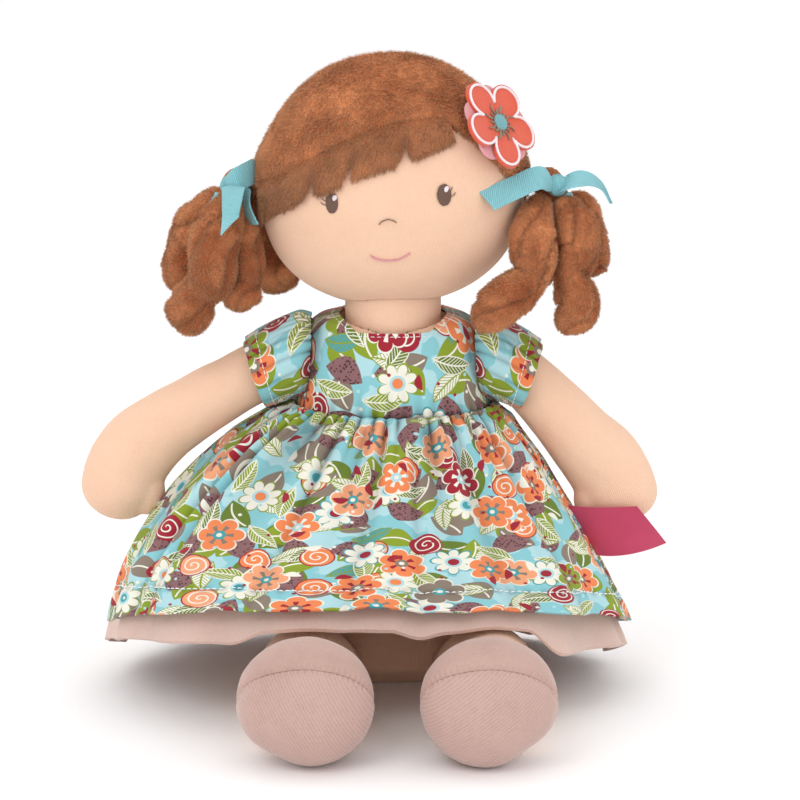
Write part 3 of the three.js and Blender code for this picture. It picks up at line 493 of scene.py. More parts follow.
def placeGroup(group, **values):
    tree = treeOf(*values.values())
    node = nodeIn(tree, "ShaderNodeGroup", node_tree=group)
    for label, value in values.items():
        feed(node.inputs[label], value)
    return {socket.name: Wire(tree, socket) for socket in node.outputs}


def newFinish(name, **plain):
    material = bpy.data.materials.new(name)
    material.use_nodes = True
    shader = material.node_tree.nodes["Principled BSDF"]
    labels = {"roughness": "Roughness", "sheen": "Sheen Weight", "sheenRough": "Sheen Roughness",
              "sheenTint": "Sheen Tint", "specular": "Specular IOR Level"}
    for label, value in plain.items():
        shader.inputs[labels[label]].default_value = value
    return material, material.node_tree, shader


# The last step of a finish: its colour, and its height in millimetres as a bump.
def dressed(material, shader, colour, height, distance):
    node = nodeIn(height.tree, "ShaderNodeBump")
    node.inputs["Strength"].default_value = 1.0
    node.inputs["Distance"].default_value = distance * mm
    feed(node.inputs["Height"], height)
    feed(shader.inputs["Normal"], Wire(height.tree, node.outputs["Normal"]))
    feed(shader.inputs["Base Color"], colour)
    return material


# Object coordinates in millimetres.
def placeInMm(tree):
    return calcVector("SCALE", Wire(tree, nodeIn(tree, "ShaderNodeTexCoord").outputs["Object"]), scale=1 / mm)


def mark(tree, label):
    return Wire(tree, nodeIn(tree, "ShaderNodeAttribute", attribute_name=label).outputs["Fac"])


def flatPlace(tree):
    return Wire(tree, nodeIn(tree, "ShaderNodeUVMap", uv_map="flat").outputs[0])


# Short pile seen close: soft patches where it is brushed another way, a fine rib and a finer grain.
def velourGroup():
    tree, given, result = newGroup("velourPile", {"Place": "place", "Rib": "value", "Pitch": "value",
                                                  "Base": "colour", "Deep": "colour", "Patchy": "value",
                                                  "Ribbed": "value"},
                                   {"Colour": "colour", "Height": "value"})
    place = given["Place"]
    patches = noise(place, 0.045, 3.0, 0.6)
    grain = noise(place, 1.4, 2.0, 0.7)
    wave = calc("SINE", given["Rib"] / given["Pitch"] * turn)
    ribbed = wave * noise(place, 0.35) * given["Ribbed"]
    share = calc("MULTIPLY", patches - 0.42, given["Patchy"], clamp=True)
    total = calc("ADD", calc("MULTIPLY_ADD", grain, 0.8, share) - 0.3, ribbed, clamp=True)
    feed(result["Colour"], mixColours(total, given["Base"], given["Deep"]))
    feed(result["Height"], grain * 0.7 + ribbed * -2.0)
    return tree


# Plain weave: two sets of threads that pass over and under each other on the flat cloth.
def weaveGroup():
    tree, given, result = newGroup("plainWeave", {"Place": "place", "Pitch": "value"}, {"Height": "value"})
    rate = np.pi / given["Pitch"]
    across, along = (part * rate for part in apart(given["Place"]))
    warp, weft = (calc("ABSOLUTE", calc("SINE", way)) for way in (across, along))
    crossing = calc("SINE", across + np.pi / 2) * calc("SINE", along + np.pi / 2)
    over = calc("MULTIPLY_ADD", crossing, 0.5, 0.5)
    feed(result["Height"], warp * over + weft * (1.0 - over))
    return tree


# Cells of the print: the cloth is laid out in squares, and each square has its own turn, shift and luck.
def cellGroup():
    tree, given, result = newGroup("printCell", {"Place": "place", "Size": "value", "Seed": "value",
                                                 "Shift": "value"},
                                   {"Local": "place", "Luck": "value", "Pick": "value"})
    moved = calcVector("ADD", rotated(given["Place"], given["Seed"]),
                       calcVector("SCALE", (7.3, 4.1, 0), scale=given["Seed"]))
    scaled = calcVector("SCALE", moved, scale=1.0 / given["Size"])
    cell = calcVector("FLOOR", scaled)
    chance = nodeIn(tree, "ShaderNodeTexWhiteNoise", noise_dimensions="4D")
    feed(chance.inputs["Vector"], cell)
    feed(chance.inputs["W"], given["Seed"])
    luck, drawn = (Wire(tree, chance.outputs[label]) for label in ("Value", "Color"))
    colour = nodeIn(tree, "ShaderNodeSeparateColor")
    feed(colour.inputs[0], drawn)
    middle = calcVector("SUBTRACT", calcVector("SUBTRACT", scaled, cell), (0.5, 0.5, 0))
    jitter = calcVector("SCALE", calcVector("SUBTRACT", drawn, (0.5, 0.5, 0.5)), scale=given["Shift"])
    local = calcVector("SCALE", calcVector("SUBTRACT", middle, jitter), scale=given["Size"])
    feed(result["Local"],
         rotated(calcVector("MULTIPLY", local, (1, 1, 0)), Wire(tree, colour.outputs[2]) * turn))
    feed(result["Luck"], luck)
    feed(result["Pick"], calc("FRACT", luck * 7.77))
    return tree


# Petals round a middle: the reach swells and draws in once for each petal. Edge is how far inside it is.
def petalGroup():
    tree, given, result = newGroup("printPetals", {"Place": "place", "Reach": "value", "Petals": "value",
                                                   "Cleft": "value"},
                                   {"Edge": "value", "Radius": "value", "Swell": "value"})
    x, y = apart(given["Place"])
    radius = calcVector("LENGTH", given["Place"])
    half = calc("ARCTAN2", y, x) * given["Petals"] * 0.5
    swell = calc("POWER", calc("ABSOLUTE", calc("COSINE", half)), 0.55)
    share = calc("MULTIPLY_ADD", swell, given["Cleft"], 1.0 - given["Cleft"])
    feed(result["Edge"], share * given["Reach"] - radius)
    feed(result["Radius"], radius)
    feed(result["Swell"], swell)
    return tree


# A leaf along x: its half width is Wide times one less the square of the share along it.
def leafGroup():
    tree, given, result = newGroup("printLeaf", {"Place": "place", "Long": "value", "Wide": "value",
                                                 "Lean": "value"},
                                   {"Edge": "value", "Vein": "value", "Rib": "value"})
    x, y = apart(given["Place"])
    share = x / given["Long"]
    aside = calc("ABSOLUTE", y - share * share * given["Lean"])
    feed(result["Edge"], (1.0 - share * share) * given["Wide"] - aside)
    feed(result["Vein"], aside)
    feed(result["Rib"], calc("ABSOLUTE", calc("FRACT", (x + aside * -1.1) / 1.7) - 0.5))
    return tree


velourPile, plainWeave = velourGroup(), weaveGroup()
printCell, printPetals, printLeaf = cellGroup(), petalGroup(), leafGroup()

dye = {label: paint(*colour) for label, colour in {
    "aqua": (138, 200, 208), "lime": (138, 158, 44), "moss": (104, 126, 44), "orange": (238, 136, 84),
    "peach": (240, 164, 122), "red": (160, 36, 52), "taupe": (138, 124, 110), "cream": (238, 236, 222),
    "teal": (70, 160, 168), "plum": (140, 100, 102), "sky": (176, 218, 224), "dark": (84, 52, 58),
}.items()}

# The print's layers. Cell is the side of its squares, share how many of them are filled, and the rest is the
# motif's own form. Sizes are in millimetres on the flat cloth.
motifs = {
    "drops": {"cell": 21.0, "shift": 0.14, "long": 8.6, "wide": 5.6, "lean": -2.4, "vein": 0.4, "inset": 1.6,
              "layers": ((0.4, ("lime", "moss", "lime", "taupe"), 0.85, False),
                         (2.7, ("taupe", "lime", "lime"), 0.7, False), (3.1, ("plum", "plum"), 0.55, True))},
    "leaves": {"cell": 23.0, "shift": 0.14, "share": 0.76, "long": 9.2, "wide": 3.9, "lean": 1.6, "rib": 0.13,
               "layers": ((1.9, ("cream", "cream", "teal"), "lime"),
                          (6.6, ("lime", "moss", "lime"), "cream"))},
    "rosettes": {"cell": 22.0, "seed": 4.5, "shift": 0.2, "share": 0.45, "reach": 6.6, "pitch": 2.7,
                 "strip": 0.24},
    "daisies": {"cell": 25.0, "seed": 5.7, "shift": 0.18, "share": 0.34, "reach": 9.0, "rings": (3.4, 2.3)},
    "blooms": {"cell": 25.0, "shift": 0.16, "reach": 9.8, "ray": 5.4, "rings": (2.6, 1.2),
               "layers": ((7.2, ("orange", "peach", "orange"), 0.52),
                          (8.8, ("lime", "orange", "taupe", "red"), 0.24))},
}


# 1 inside an edge and 0 outside it, with a soft line of ink between.
def inked(edge, inset=0.0, soft=0.22):
    return calc("DIVIDE", edge - inset, soft, clamp=True)


# The print: motifs of one kind to a layer, each in its own turned lay-out, one layer over the other.
def printGroup():
    tree, given, result = newGroup("floralPrint", {"Place": "place"}, {"Colour": "colour"})
    place = given["Place"]
    colour = mixColours(inked(noise(place, 0.07) - 0.5, 0, 0.02), dye["aqua"], dye["sky"])

    def cells(size, seed, shift, share):
        made = placeGroup(printCell, Place=place, Size=size, Seed=seed, Shift=shift)
        return made["Local"], calc("LESS_THAN", made["Luck"], share), made["Pick"]

    def lay(under, edge, there, over):
        return mixColours(inked(edge) * there, under, over)

    def picked(pick, *names):
        return pickColour(pick, [dye[name] for name in names])

    def ringed(petals, radius, colour):
        return lambda under: mixColours(inked(radius - petals["Radius"]), under, colour)

    # Broad drops: veined or speckled
    drops = motifs["drops"]
    specks = nodeIn(tree, "ShaderNodeTexVoronoi", feature="F1")
    feed(specks.inputs["Vector"], place)
    specks.inputs["Scale"].default_value = 0.8
    speck = calc("LESS_THAN", Wire(tree, specks.outputs["Distance"]), 0.36)
    for seed, names, share, isSpeckled in drops["layers"]:
        local, there, pick = cells(drops["cell"], seed, drops["shift"], share)
        drop = placeGroup(printLeaf, Place=local, Long=drops["long"], Wide=drops["wide"], Lean=drops["lean"])
        body = picked(pick, *names)
        if isSpeckled:
            body = mixColours(speck, body, dye["dark"])
        else:
            vein = calc("LESS_THAN", drop["Vein"], drops["vein"])
            body = mixColours(vein * inked(drop["Edge"], drops["inset"]), body, dye["cream"])
        colour = lay(colour, drop["Edge"], there, body)

    # Long leaves with ribs
    leaves = motifs["leaves"]
    for seed, names, ink in leaves["layers"]:
        local, there, pick = cells(leaves["cell"], seed, leaves["shift"], leaves["share"])
        leaf = placeGroup(printLeaf, Place=local, Long=leaves["long"], Wide=leaves["wide"],
                          Lean=leaves["lean"])
        vein = calc("MAXIMUM", calc("LESS_THAN", leaf["Rib"], leaves["rib"]),
                    calc("LESS_THAN", leaf["Vein"], 0.32))
        inner = mixColours(vein * inked(leaf["Edge"], 0.5), picked(pick, *names), dye[ink])
        colour = lay(colour, leaf["Edge"], there, mixColours(inked(leaf["Edge"], 0.45), dye[ink], inner))

    # Rosettes wound from a strip
    wound = motifs["rosettes"]
    local, there, pick = cells(wound["cell"], wound["seed"], wound["shift"], wound["share"])
    rose = placeGroup(printPetals, Place=local, Reach=wound["reach"], Petals=3.0, Cleft=0.1)
    x, y = apart(local)
    coil = rose["Radius"] / wound["pitch"] + calc("ARCTAN2", y, x) / turn
    rosette = mixColours(calc("LESS_THAN", calc("FRACT", coil), wound["strip"]),
                         picked(pick, "orange", "red", "orange", "peach"), dye["cream"])
    colour = lay(colour, rose["Edge"], there, mixColours(inked(rose["Edge"], 0.6), dye["red"], rosette))

    # Daisies with an inked edge
    daisies = motifs["daisies"]
    local, there, pick = cells(daisies["cell"], daisies["seed"], daisies["shift"], daisies["share"])
    daisy = placeGroup(printPetals, Place=local, Reach=daisies["reach"], Petals=8.0, Cleft=0.5)
    petals = mixColours(inked(daisy["Edge"], 0.8), picked(pick, "lime", "teal", "lime"), dye["cream"])
    for radius, over in zip(daisies["rings"], (dye["sky"], picked(pick, "orange", "red", "teal"))):
        petals = ringed(daisy, radius, over)(petals)
    colour = lay(colour, daisy["Edge"], there, petals)

    # Round blooms with rays
    blooms = motifs["blooms"]
    for seed, names, share in blooms["layers"]:
        local, there, pick = cells(blooms["cell"], seed, blooms["shift"], share)
        bloom = placeGroup(printPetals, Place=local, Reach=blooms["reach"], Petals=6.0, Cleft=0.34)
        petal = mixColours(inked(bloom["Edge"], 0.7), dye["cream"], picked(pick, *names))
        ray = inked(blooms["ray"] - bloom["Radius"]) * calc("GREATER_THAN", bloom["Swell"], 0.9)
        petal = mixColours(ray, petal, picked(pick, "red", "taupe", "cream"))
        for radius, over in zip(blooms["rings"], (picked(pick, "taupe", "teal", "sky"), dye["cream"])):
            petal = ringed(bloom, radius, over)(petal)
        colour = lay(colour, bloom["Edge"], there, petal)

    # Buds and dots
    local, there, pick = cells(11.0, 10.4, 0.3, 0.26)
    bud = placeGroup(printLeaf, Place=local, Long=3.6, Wide=1.7, Lean=1.1)
    colour = lay(colour, bud["Edge"], there, picked(pick, "red", "cream", "red"))
    local, there, pick = cells(6.4, 9.3, 0.5, 0.22)
    colour = lay(colour, 0.85 - calcVector("LENGTH", local), there, picked(pick, "cream", "red", "sky"))
    feed(result["Colour"], colour)
    return tree


floralPrint = printGroup()


def velourFinish(name, base, deep, pitch=0.9, patchy=1.0, ribbed=0.1, sheen=0.35,
                 tint=(1, 1, 1, 1), bump=0.12):
    material, tree, shader = newFinish(name, roughness=0.92, sheen=sheen, sheenRough=0.45, sheenTint=tint,
                                       specular=0.12)
    made = placeGroup(velourPile, Place=placeInMm(tree), Rib=mark(tree, "rib"), Pitch=pitch,
                      Base=paint(*base), Deep=paint(*deep), Patchy=patchy, Ribbed=ribbed)
    return dressed(material, shader, made["Colour"], made["Height"], bump)


def plushFinish(name, light, dark, tip):
    material, tree, shader = newFinish(name, roughness=0.75, sheen=0.3, sheenRough=0.35,
                                       sheenTint=paint(*tip), specular=0.15)
    place = placeInMm(tree)
    # Painted sheen: broad patches of the pile are painted lighter and darker, as brushed plush catches the
    # light; the shade mark adds each fibre's random tone and the painted shade of folds and notches
    patches = noise(place, 0.055, 3.0, 0.6)
    share = calc("MULTIPLY_ADD", patches, 1.9,
                 calc("MULTIPLY_ADD", mark(tree, "shade"), 0.5, -0.75), clamp=True)
    body = mixColours(share, paint(*dark), paint(*light))
    ended = mixColours(mark(tree, "tip") * 0.45, body, paint(*tip))
    return dressed(material, shader, ended, noise(place, 1.1, 3.0, 0.7), 0.4)


def printedFinish(name):
    material, tree, shader = newFinish(name, roughness=0.82, sheen=0.12, sheenRough=0.5, specular=0.25)
    flat = flatPlace(tree)
    weave = placeGroup(plainWeave, Place=flat, Pitch=0.35)["Height"]
    shaded = mixColours((1.0 - weave) * 0.16, placeGroup(floralPrint, Place=flat)["Colour"],
                        paint(90, 90, 90), "MULTIPLY")
    # Painted shade: the print is darkened by the painted-shade mark in folds, puckers and by the armholes
    paintedShadeShare = calc("MULTIPLY", mark(tree, "valley"), 0.75, clamp=True)
    shaded = mixColours(paintedShadeShare, shaded, paint(104, 92, 92), "MULTIPLY")
    return dressed(material, shader, shaded, weave * 0.12 + noise(placeInMm(tree), 0.16, 3.0), 0.45)


def wovenFinish(name, base, deep, pitch, twill=0.0, roughness=0.7, sheen=0.2, specular=0.3):
    material, tree, shader = newFinish(name, roughness=roughness, sheen=sheen, sheenRough=0.4,
                                       specular=specular)
    flat = flatPlace(tree)
    x, y = apart(flat)
    weave = placeGroup(plainWeave, Place=flat, Pitch=pitch)["Height"]
    height = calc("MULTIPLY_ADD", calc("SINE", (x + y) * (turn / (2.6 * pitch))), twill, weave)
    cloudy = noise(placeInMm(tree), 0.12, 3.0)
    share = calc("MULTIPLY_ADD", height, -0.35, calc("MULTIPLY_ADD", cloudy, 0.5, 0.2), clamp=True)
    return dressed(material, shader, mixColours(share, paint(*base), paint(*deep)), height, 0.12)


# Fibres in no order: felt, and the strands of a thread.
def fibreFinish(name, base, deep, scale, detail, rough, bump, **plain):
    material, tree, shader = newFinish(name, **plain)
    fibres = noise(placeInMm(tree), scale, detail, rough)
    return dressed(material, shader, mixColours(fibres, paint(*base), paint(*deep)), fibres, bump)


def threadFinish(name, base, deep):
    return fibreFinish(name, base, deep, 2.2, 3.0, 0.7, 0.1, roughness=0.45, sheen=0.1, specular=0.4)


finish = {
    "skin": velourFinish("skinVelour", (235, 197, 170), (221, 175, 146), 0.85, 0.7, 0.14, 0.2,
                         (1, 0.93, 0.86, 1), 0.2),
    "hair": plushFinish("hairPlush", (248, 168, 114), (154, 82, 46), (255, 204, 160)),
    "fringe": plushFinish("fringePlush", (252, 166, 110), (160, 84, 46), (255, 210, 168)),
    "print": printedFinish("printedCotton"),
    "underskirt": velourFinish("underskirtVelour", (216, 187, 175), (186, 155, 144), 0.8, 0.8, 0.1, bump=0.2),
    "shoe": velourFinish("shoeVelour", (193, 160, 149), (156, 123, 113), 0.8, 1.0, 0.0, 0.4, bump=0.25),
    "sole": velourFinish("soleVelour", (196, 163, 153), (156, 123, 114), 1.25, 0.7, 0.28, 0.4, bump=0.22),
    "ribbon": wovenFinish("aquaTwill", (150, 214, 222), (106, 178, 190), 0.42, 1.2),
    "tag": wovenFinish("tagSatin", (206, 68, 104), (176, 48, 84), 0.3, 0.2, 0.45, 0.1, 0.45),
    "coral": fibreFinish("coralFelt", (226, 84, 42), (206, 66, 34), 0.9, 5.0, 0.8, 0.35, roughness=0.95,
                         sheen=0.4, sheenRough=0.6, specular=0.1),
    "pink": wovenFinish("pinkCotton", (232, 168, 172), (206, 128, 138), 0.4),
    "closure": wovenFinish("closureTape", (222, 226, 226), (180, 190, 192), 0.5, 0.3, 0.85),
    "brownThread": threadFinish("brownThread", (128, 98, 82), (84, 60, 50)),
    "noseThread": threadFinish("noseThread", (112, 84, 62), (84, 60, 44)),
    "whiteThread": threadFinish("whiteThread", (248, 240, 242), (222, 206, 210)),
    "pinkThread": threadFinish("pinkThread", (226, 160, 174), (204, 132, 150)),
    "aquaThread": threadFinish("aquaThread", (138, 190, 194), (92, 148, 156)),
    "stoneThread": threadFinish("stoneThread", (156, 136, 112), (116, 98, 80)),
    "seamThread": threadFinish("seamThread", (250, 252, 252), (224, 232, 232)),
}
print("finishes made:", len(finish))


# Camera at the photograph's angle
photo = {"elevation": 12, "distance": 1400, "aim": (2.9, 0, 118), "lens": 150, "sensor": 36}


def placeCamera():
    data = bpy.data.cameras.new("photoCamera")
    data.lens = photo["lens"]
    data.sensor_width = photo["sensor"]
    data.clip_end = 50
    camera = newObject("photoCamera", data)
    rise = np.radians(photo["elevation"])
    back = Vector((0, -np.cos(rise), np.sin(rise))) * photo["distance"]
    camera.location = (Vector(photo["aim"]) + back) * mm
    camera.rotation_euler = (np.pi / 2 - rise, 0, 0)
    bpy.context.scene.camera = camera


placeCamera()


# Torso
torso = {"width": 86, "depth": 66, "height": 155, "back": 2, "power": 2.3, "rib": 38, "around": 232,
         "shares": [[0, .74, .62], [.06, .92, .86], [.16, 1, 1], [.34, .99, .98], [.52, .95, .93],
                    [.7, .9, .88], [.81, .86, .85], [.9, .85, .81], [.965, .78, .72], [1, .46, .46]]}
neck = {"width": 40, "ease": 0.7, "nod": 145, "tilt": 166, "cone": 13, "rib": 20}
hip = {"forward": 36, "height": 13.4, "cut": 0.5}
shoulder = {"height": 139, "width": 70, "root": 31, "press": 2.7}
waist = {"height": 116, "width": 82, "depth": 66}
cloth = {"cotton": 1.1, "velour": 1.6, "ease": 0.8, "layerEase": 0.9, "strip": 0.5}


# The torso's surface: at each share of its profile, a squared-off circle of that width and depth.
def torsoPoints(u, v):
    u, v = np.broadcast_arrays(u, v)
    c, s = squaredCircle(u, torso["power"])
    share = curveThrough(torso["shares"], v)
    return vector(c * share[..., 1] * torso["width"] / 2,
                  torso["back"] + s * share[..., 2] * torso["depth"] / 2, share[..., 0] * torso["height"])


torsoSteps = np.linspace(0, 1, 2001)
torsoHeights = curveThrough(torso["shares"], torsoSteps)[:, 0] * torso["height"]


def torsoShareAt(height):
    return np.interp(height, torsoHeights, torsoSteps)


# What the neck, the hips and the arms press into the torso: points inside their seats go to the seat's face.
def seatedIn(points):
    x, y, z = (points[..., axis].copy() for axis in range(3))
    radius = neck["width"] / 2 + neck["ease"]
    spread = np.hypot(x, y)
    bowl = neck["nod"] - np.sqrt(np.maximum(radius ** 2 - spread ** 2, 0))
    cone = radius + (z - neck["nod"]) * np.tan(np.radians(neck["cone"]))
    z = np.where((spread < radius) & (z > bowl), bowl, z)
    push = np.where((spread >= radius) & (spread < cone) & (z > neck["nod"]), cone / np.maximum(spread, 1), 1)
    x, y = x * push, y * push
    roll = hip["height"] - hip["cut"] + seam
    near = np.hypot(y + hip["forward"], z - hip["height"])
    away = np.where(near < roll, roll / np.maximum(near, 1e-6), 1)
    y, z = -hip["forward"] + (y + hip["forward"]) * away, hip["height"] + (z - hip["height"]) * away
    side = shoulder["width"] / 2
    inHole = np.hypot(y, z - shoulder["height"]) < shoulder["root"] / 2 + shoulder["press"]
    x = np.where(inHole, np.clip(x, -side, side), x)
    return vector(x, y, np.maximum(z, 0))


# The velour's rib runs round a piece: its angle from the front, as a length at the given radius.
def ribRound(shape, radius):
    shape["marks"]["rib"] = np.arctan2(shape["points"][:, 0], -shape["points"][:, 1]) * radius
    return shape


def makeTorso():
    v = np.concatenate([np.linspace(0, .1, 10)[:-1], np.linspace(.1, 1, 70)])[:, None]
    u = columnShares(129)
    points = torsoPoints(u, v)
    points = seatedIn(points + outwards(points, True) * (unevenness(points, 30, 3)[..., None] * 0.3 - 0.3))
    shape = ribRound(capped(points), torso["rib"])
    piece = addPiece("torso_velour", shape, finish["skin"], "torso", ["torso"])


makeTorso()


# Neck: a stuffed tube between the balls of its two seats.
def makeNeck():
    radius = neck["width"] / 2
    angle = np.linspace(0, np.pi / 2, 12)
    reach = np.concatenate([np.sin(angle), np.linspace(1, 1, 10), np.cos(angle)]) * radius
    level = np.concatenate([neck["nod"] - np.cos(angle) * radius,
                            np.linspace(neck["nod"], neck["tilt"], 12)[1:-1],
                            neck["tilt"] + np.sin(angle) * radius])
    way = turn * np.linspace(0, 1, 73)
    points = vector(np.cos(way)[None] * reach[:, None], np.sin(way)[None] * reach[:, None], level[:, None])
    shape = ribRound(capped(points), neck["rib"])
    piece = addPiece("neck_velour", shape, finish["skin"], "neck", ["neck"])


makeNeck()


# Bodice: cotton from the waist seam to the neckline, which dips a little in front.
neckline = {"width": 44, "depth": 50, "low": 153.5, "forward": 2, "slope": 8, "stitchRow": -4}
closure = {"overlap": 0.035, "lift": 0.09, "strip": [0.12, 0.62]}


# How far each upright line of a bodice piece climbs: to the last share before the neckline's oval.
def bodiceTop(u, distance):
    steps = np.linspace(0.6, 1, 300)
    points = torsoPoints(u[None], steps[:, None])
    points = points + outwards(points) * distance
    forward = points[..., 1] + neckline["forward"]
    edge = neckline["low"] + forward * np.tan(np.radians(neckline["slope"]))
    inOval = np.hypot(points[..., 0] / (neckline["width"] / 2), forward / (neckline["depth"] / 2)) < 1
    gone = (points[..., 2] > edge) & inOval
    first = np.where(gone.any(0), gone.argmax(0), len(steps) - 1)
    return steps[first] - 0.004


def bodiceShape(start, end, ease, columns=90, rows=56):
    u = blend(start, end, np.linspace(0, 1, columns))
    low = torsoShareAt(waist["height"] - 2 * seam)
    top = bodiceTop(u, cloth["ease"])
    top = np.convolve(np.pad(top, 2, "edge"), np.ones(5) / 5, "valid")
    share = blend(low, top[None], rowShares(rows))
    base = torsoPoints(np.broadcast_to(u[None], share.shape), share)
    out = outwards(base)
    lifted = ease(u)[None, :, None]
    creased = (unevenness(base, 26, 11) * 0.35)[..., None]
    nearWaist = np.exp(-(base[..., 2] - waist["height"]) / 4)[..., None]
    pulled = 0.5 * nearWaist * (1 + np.sin(turn * 40 * u))[None, :, None]
    fromEdge = np.linspace(0, 1, rows)[:, None, None] * 40
    rolled = np.sqrt(1 - (1 - np.clip(fromEdge / 1.4, 0.02, 1)) ** 2)
    outer = base + out * (lifted + 0.05 + (cloth["cotton"] + creased + pulled * 0.6) * rolled)
    inner = base + out * (lifted + 0.05)
    flat = laidFlat(u[None] * torso["around"], base[..., 2])
    side = shoulder["width"] / 2 - 0.05
    hole = np.hypot(outer[..., 1], outer[..., 2] - shoulder["height"])
    covered = 1 - smooth(hole, shoulder["root"] / 2 + 0.6, shoulder["root"] / 2 + 4)
    # Painted shade: darker print in the puckers at the waist and where the sleeve covers the armhole
    valley = 0.5 * nearWaist[..., 0] * (1 - np.sin(turn * 40 * u))[None] + 0.8 * covered
    for layer, reach in ((outer, side), (inner, side - cloth["cotton"] + 0.05)):
        flatX = np.clip(layer[..., 0], -reach, reach)
        layer[..., 0] = blend(layer[..., 0], flatX, covered)
    return outer, inner, flat, out, valley


def makeBodice():
    middle, behind = 0.5, 0.25
    trim = seam / torso["width"]
    plain = lambda u: np.full_like(u, cloth["ease"])
    outerBack = cloth["ease"] + cloth["cotton"] + 4 * seam + 2 * cloth["strip"]
    lifts = lambda u: blend(cloth["ease"], outerBack,
                            smooth(u, behind - closure["lift"], behind - closure["overlap"]))
    pieces = {
        "bodice_front": (middle + trim, 1 - trim, plain, 150, [0.118, 0.042]),
        "bodice_back_left": (0, behind + closure["overlap"], lifts, 80, [0.066, 0.042]),
        "bodice_back_right": (behind - closure["overlap"], middle, plain, 70, [0.066, 0.042]),
    }
    for node, (start, end, ease, columns, flatSize) in pieces.items():
        outer, inner, flat, out, valley = bodiceShape(start, end, ease, columns)
        piece = addPiece(f"{node}_cotton", clothShape(outer, inner, flat, valley=valley), finish["print"],
                         "torso", [node], sharp=50)
        row = neckline["stitchRow"]
        thread = addPiece(f"{node}_stitching", stitches(outer[row], out[row], 2.6), finish["seamThread"],
                          "torso")
    inset = closure["overlap"] / 4
    low = torsoShareAt(waist["height"])
    over = cloth["ease"] + cloth["cotton"]
    distances = {"closure_hook_strip": over + seam, "closure_loop_strip": over + 2 * seam + cloth["strip"]}
    for node, distance in distances.items():
        u = behind + np.linspace(-closure["overlap"] + inset, closure["overlap"] - inset, 30)[None]
        v = blend(low, 1, np.linspace(*closure["strip"], 30))[:, None]
        base = torsoPoints(u, v)
        out = outwards(base)
        flat = laidFlat(u * torso["around"], base[..., 2])
        shape = clothShape(base + out * (distance + cloth["strip"]), base + out * distance, flat)
        piece = addPiece(node.replace("closure", "tape"), shape, finish["closure"], "torso", [node],
                         sharp=50)


makeBodice()
print("torso and bodice made")


# Skirt and underskirt
skirt = {"hemWidth": 213, "hemDepth": 168, "side": -10, "forward": 17, "low": 21, "rise": 33, "fall": 5,
         "fold": 5, "folds": 14, "drift": 1.7, "power": 2.3, "top": 0.9, "drop": 6,
         "pull": {"left": [.72, .42], "back": [.83, .63], "right": [.87, .665], "front": [.52, .3]},
         "waistFlat": 380, "aroundFlat": 570, "fallFlat": 118, "fallLong": 132, "hemStitch": 0.13,
         "dips": [[-122, -100, -60, 0, 60, 92, 112], [0.5, 4, 6, 1.5, 10, 5, 0.5]], "flare": 4.5,
         "printShift": 900}
leg = {"right": -34, "left": 37.4, "width": 40, "height": 42, "root": 42, "long": 80}


# The fall of the skirt: a curve of the second degree from the hem over a pull to the waist, with folds that
# swell towards the hem.
def skirtPoints(u, v):
    u, v = np.broadcast_arrays(u, v)
    c, s = np.cos(turn * u), np.sin(turn * u)
    hemC, hemS = squaredCircle(u, skirt["power"])
    top = vector(c * waist["width"] / 2, torso["back"] + s * waist["depth"] / 2, waist["height"])
    y = -skirt["forward"] + hemS * skirt["hemDepth"] / 2
    forward = y / (skirt["hemDepth"] / 2 + skirt["forward"])
    level = skirt["low"] - skirt["rise"] * np.minimum(forward, 0) - skirt["fall"] * np.maximum(forward, 0)
    hem = vector(skirt["side"] + hemC * skirt["hemWidth"] / 2, y, level)
    parts = {"left": np.maximum(c, 0), "right": np.minimum(c, 0), "back": np.maximum(s, 0),
             "front": np.minimum(s, 0)}
    out, up = (sum(part ** 2 * skirt["pull"][side][step] for side, part in parts.items())
               for step in range(2))
    middle = vector(blend(top[..., 0], hem[..., 0], out), blend(top[..., 1], hem[..., 1], out),
                    blend(level, waist["height"], up))
    fallen = (1 - v)[..., None]
    rise = v[..., None]
    point = top * rise ** 2 + middle * 2 * rise * fallen + hem * fallen ** 2
    ripple = np.cos(skirt["folds"] * turn * u + skirt["drift"] * np.sin(2 * turn * u))
    fold = skirt["fold"] / 2 * (1 - v) ** 1.3 * ripple
    away = hem - top
    away[..., 2] = 0
    return point + unit(away) * fold[..., None]


# Gathers at the waist that run out into fewer, softer folds, and small creases: all of it proud of the form.
# Each is a row of rounded ridges with sharp valleys: the absolute cosine to a power. The second array is
# painted
# shade: how much the print is darkened in each valley and along the puckers by the hem stitching.
def gathers(u, v, points):
    down = (1 - v) * skirt["fallLong"]
    drift = 1.3 * np.sin(turn * 3 * u + 1) + 0.9 * np.sin(turn * 7 * u) + 0.6 * np.sin(turn * 13 * u + 2)
    proud = 0.8 * (0.5 + 0.5 * unevenness(points, 34, 21))
    valley = 0 * down
    # The fifth column, dark, is how strongly each set of folds paints shade into its valleys
    for count, extra, power, high, dark, fade in (
            (46, drift, 0.8, 3.4, 1.5, np.exp(-down / 12) * smooth(down, -1.5, 1.5)),
            (24, 1.4 * drift, 1.0, 4.0, 1.0, smooth(down, 2, 10) * np.exp(-down / 34)),
            (12, 1.6 * drift, 1.4, 4.0, 0.7, smooth(down, 8, 34) * np.exp(-down / 120))):
        ridge = np.abs(np.cos(turn / 2 * count * u + extra))
        proud = proud + high * ridge ** power * fade
        valley = valley + dark * (1 - ridge) ** 2.2 * fade
    pucker = np.exp(-((v - skirt["hemStitch"]) / 0.02) ** 2) * (1 - np.sin(turn * 90 * u + drift))
    return proud - 0.2 * pucker, valley + 0.25 * pucker


# The cloth of a half is cut with a flare: its flat width grows from the waist to the hem.
def skirtFlat(u, v):
    across = (u - np.mean(u)) * blend(skirt["waistFlat"], skirt["aroundFlat"], (1 - v) ** 0.8)
    across = across - 2.2 * np.sin(turn * 46 * u + 2.6 * np.sin(turn * 3 * u + 1)) * np.exp((v - 1) * 8)
    return laidFlat(across, v * skirt["fallFlat"])


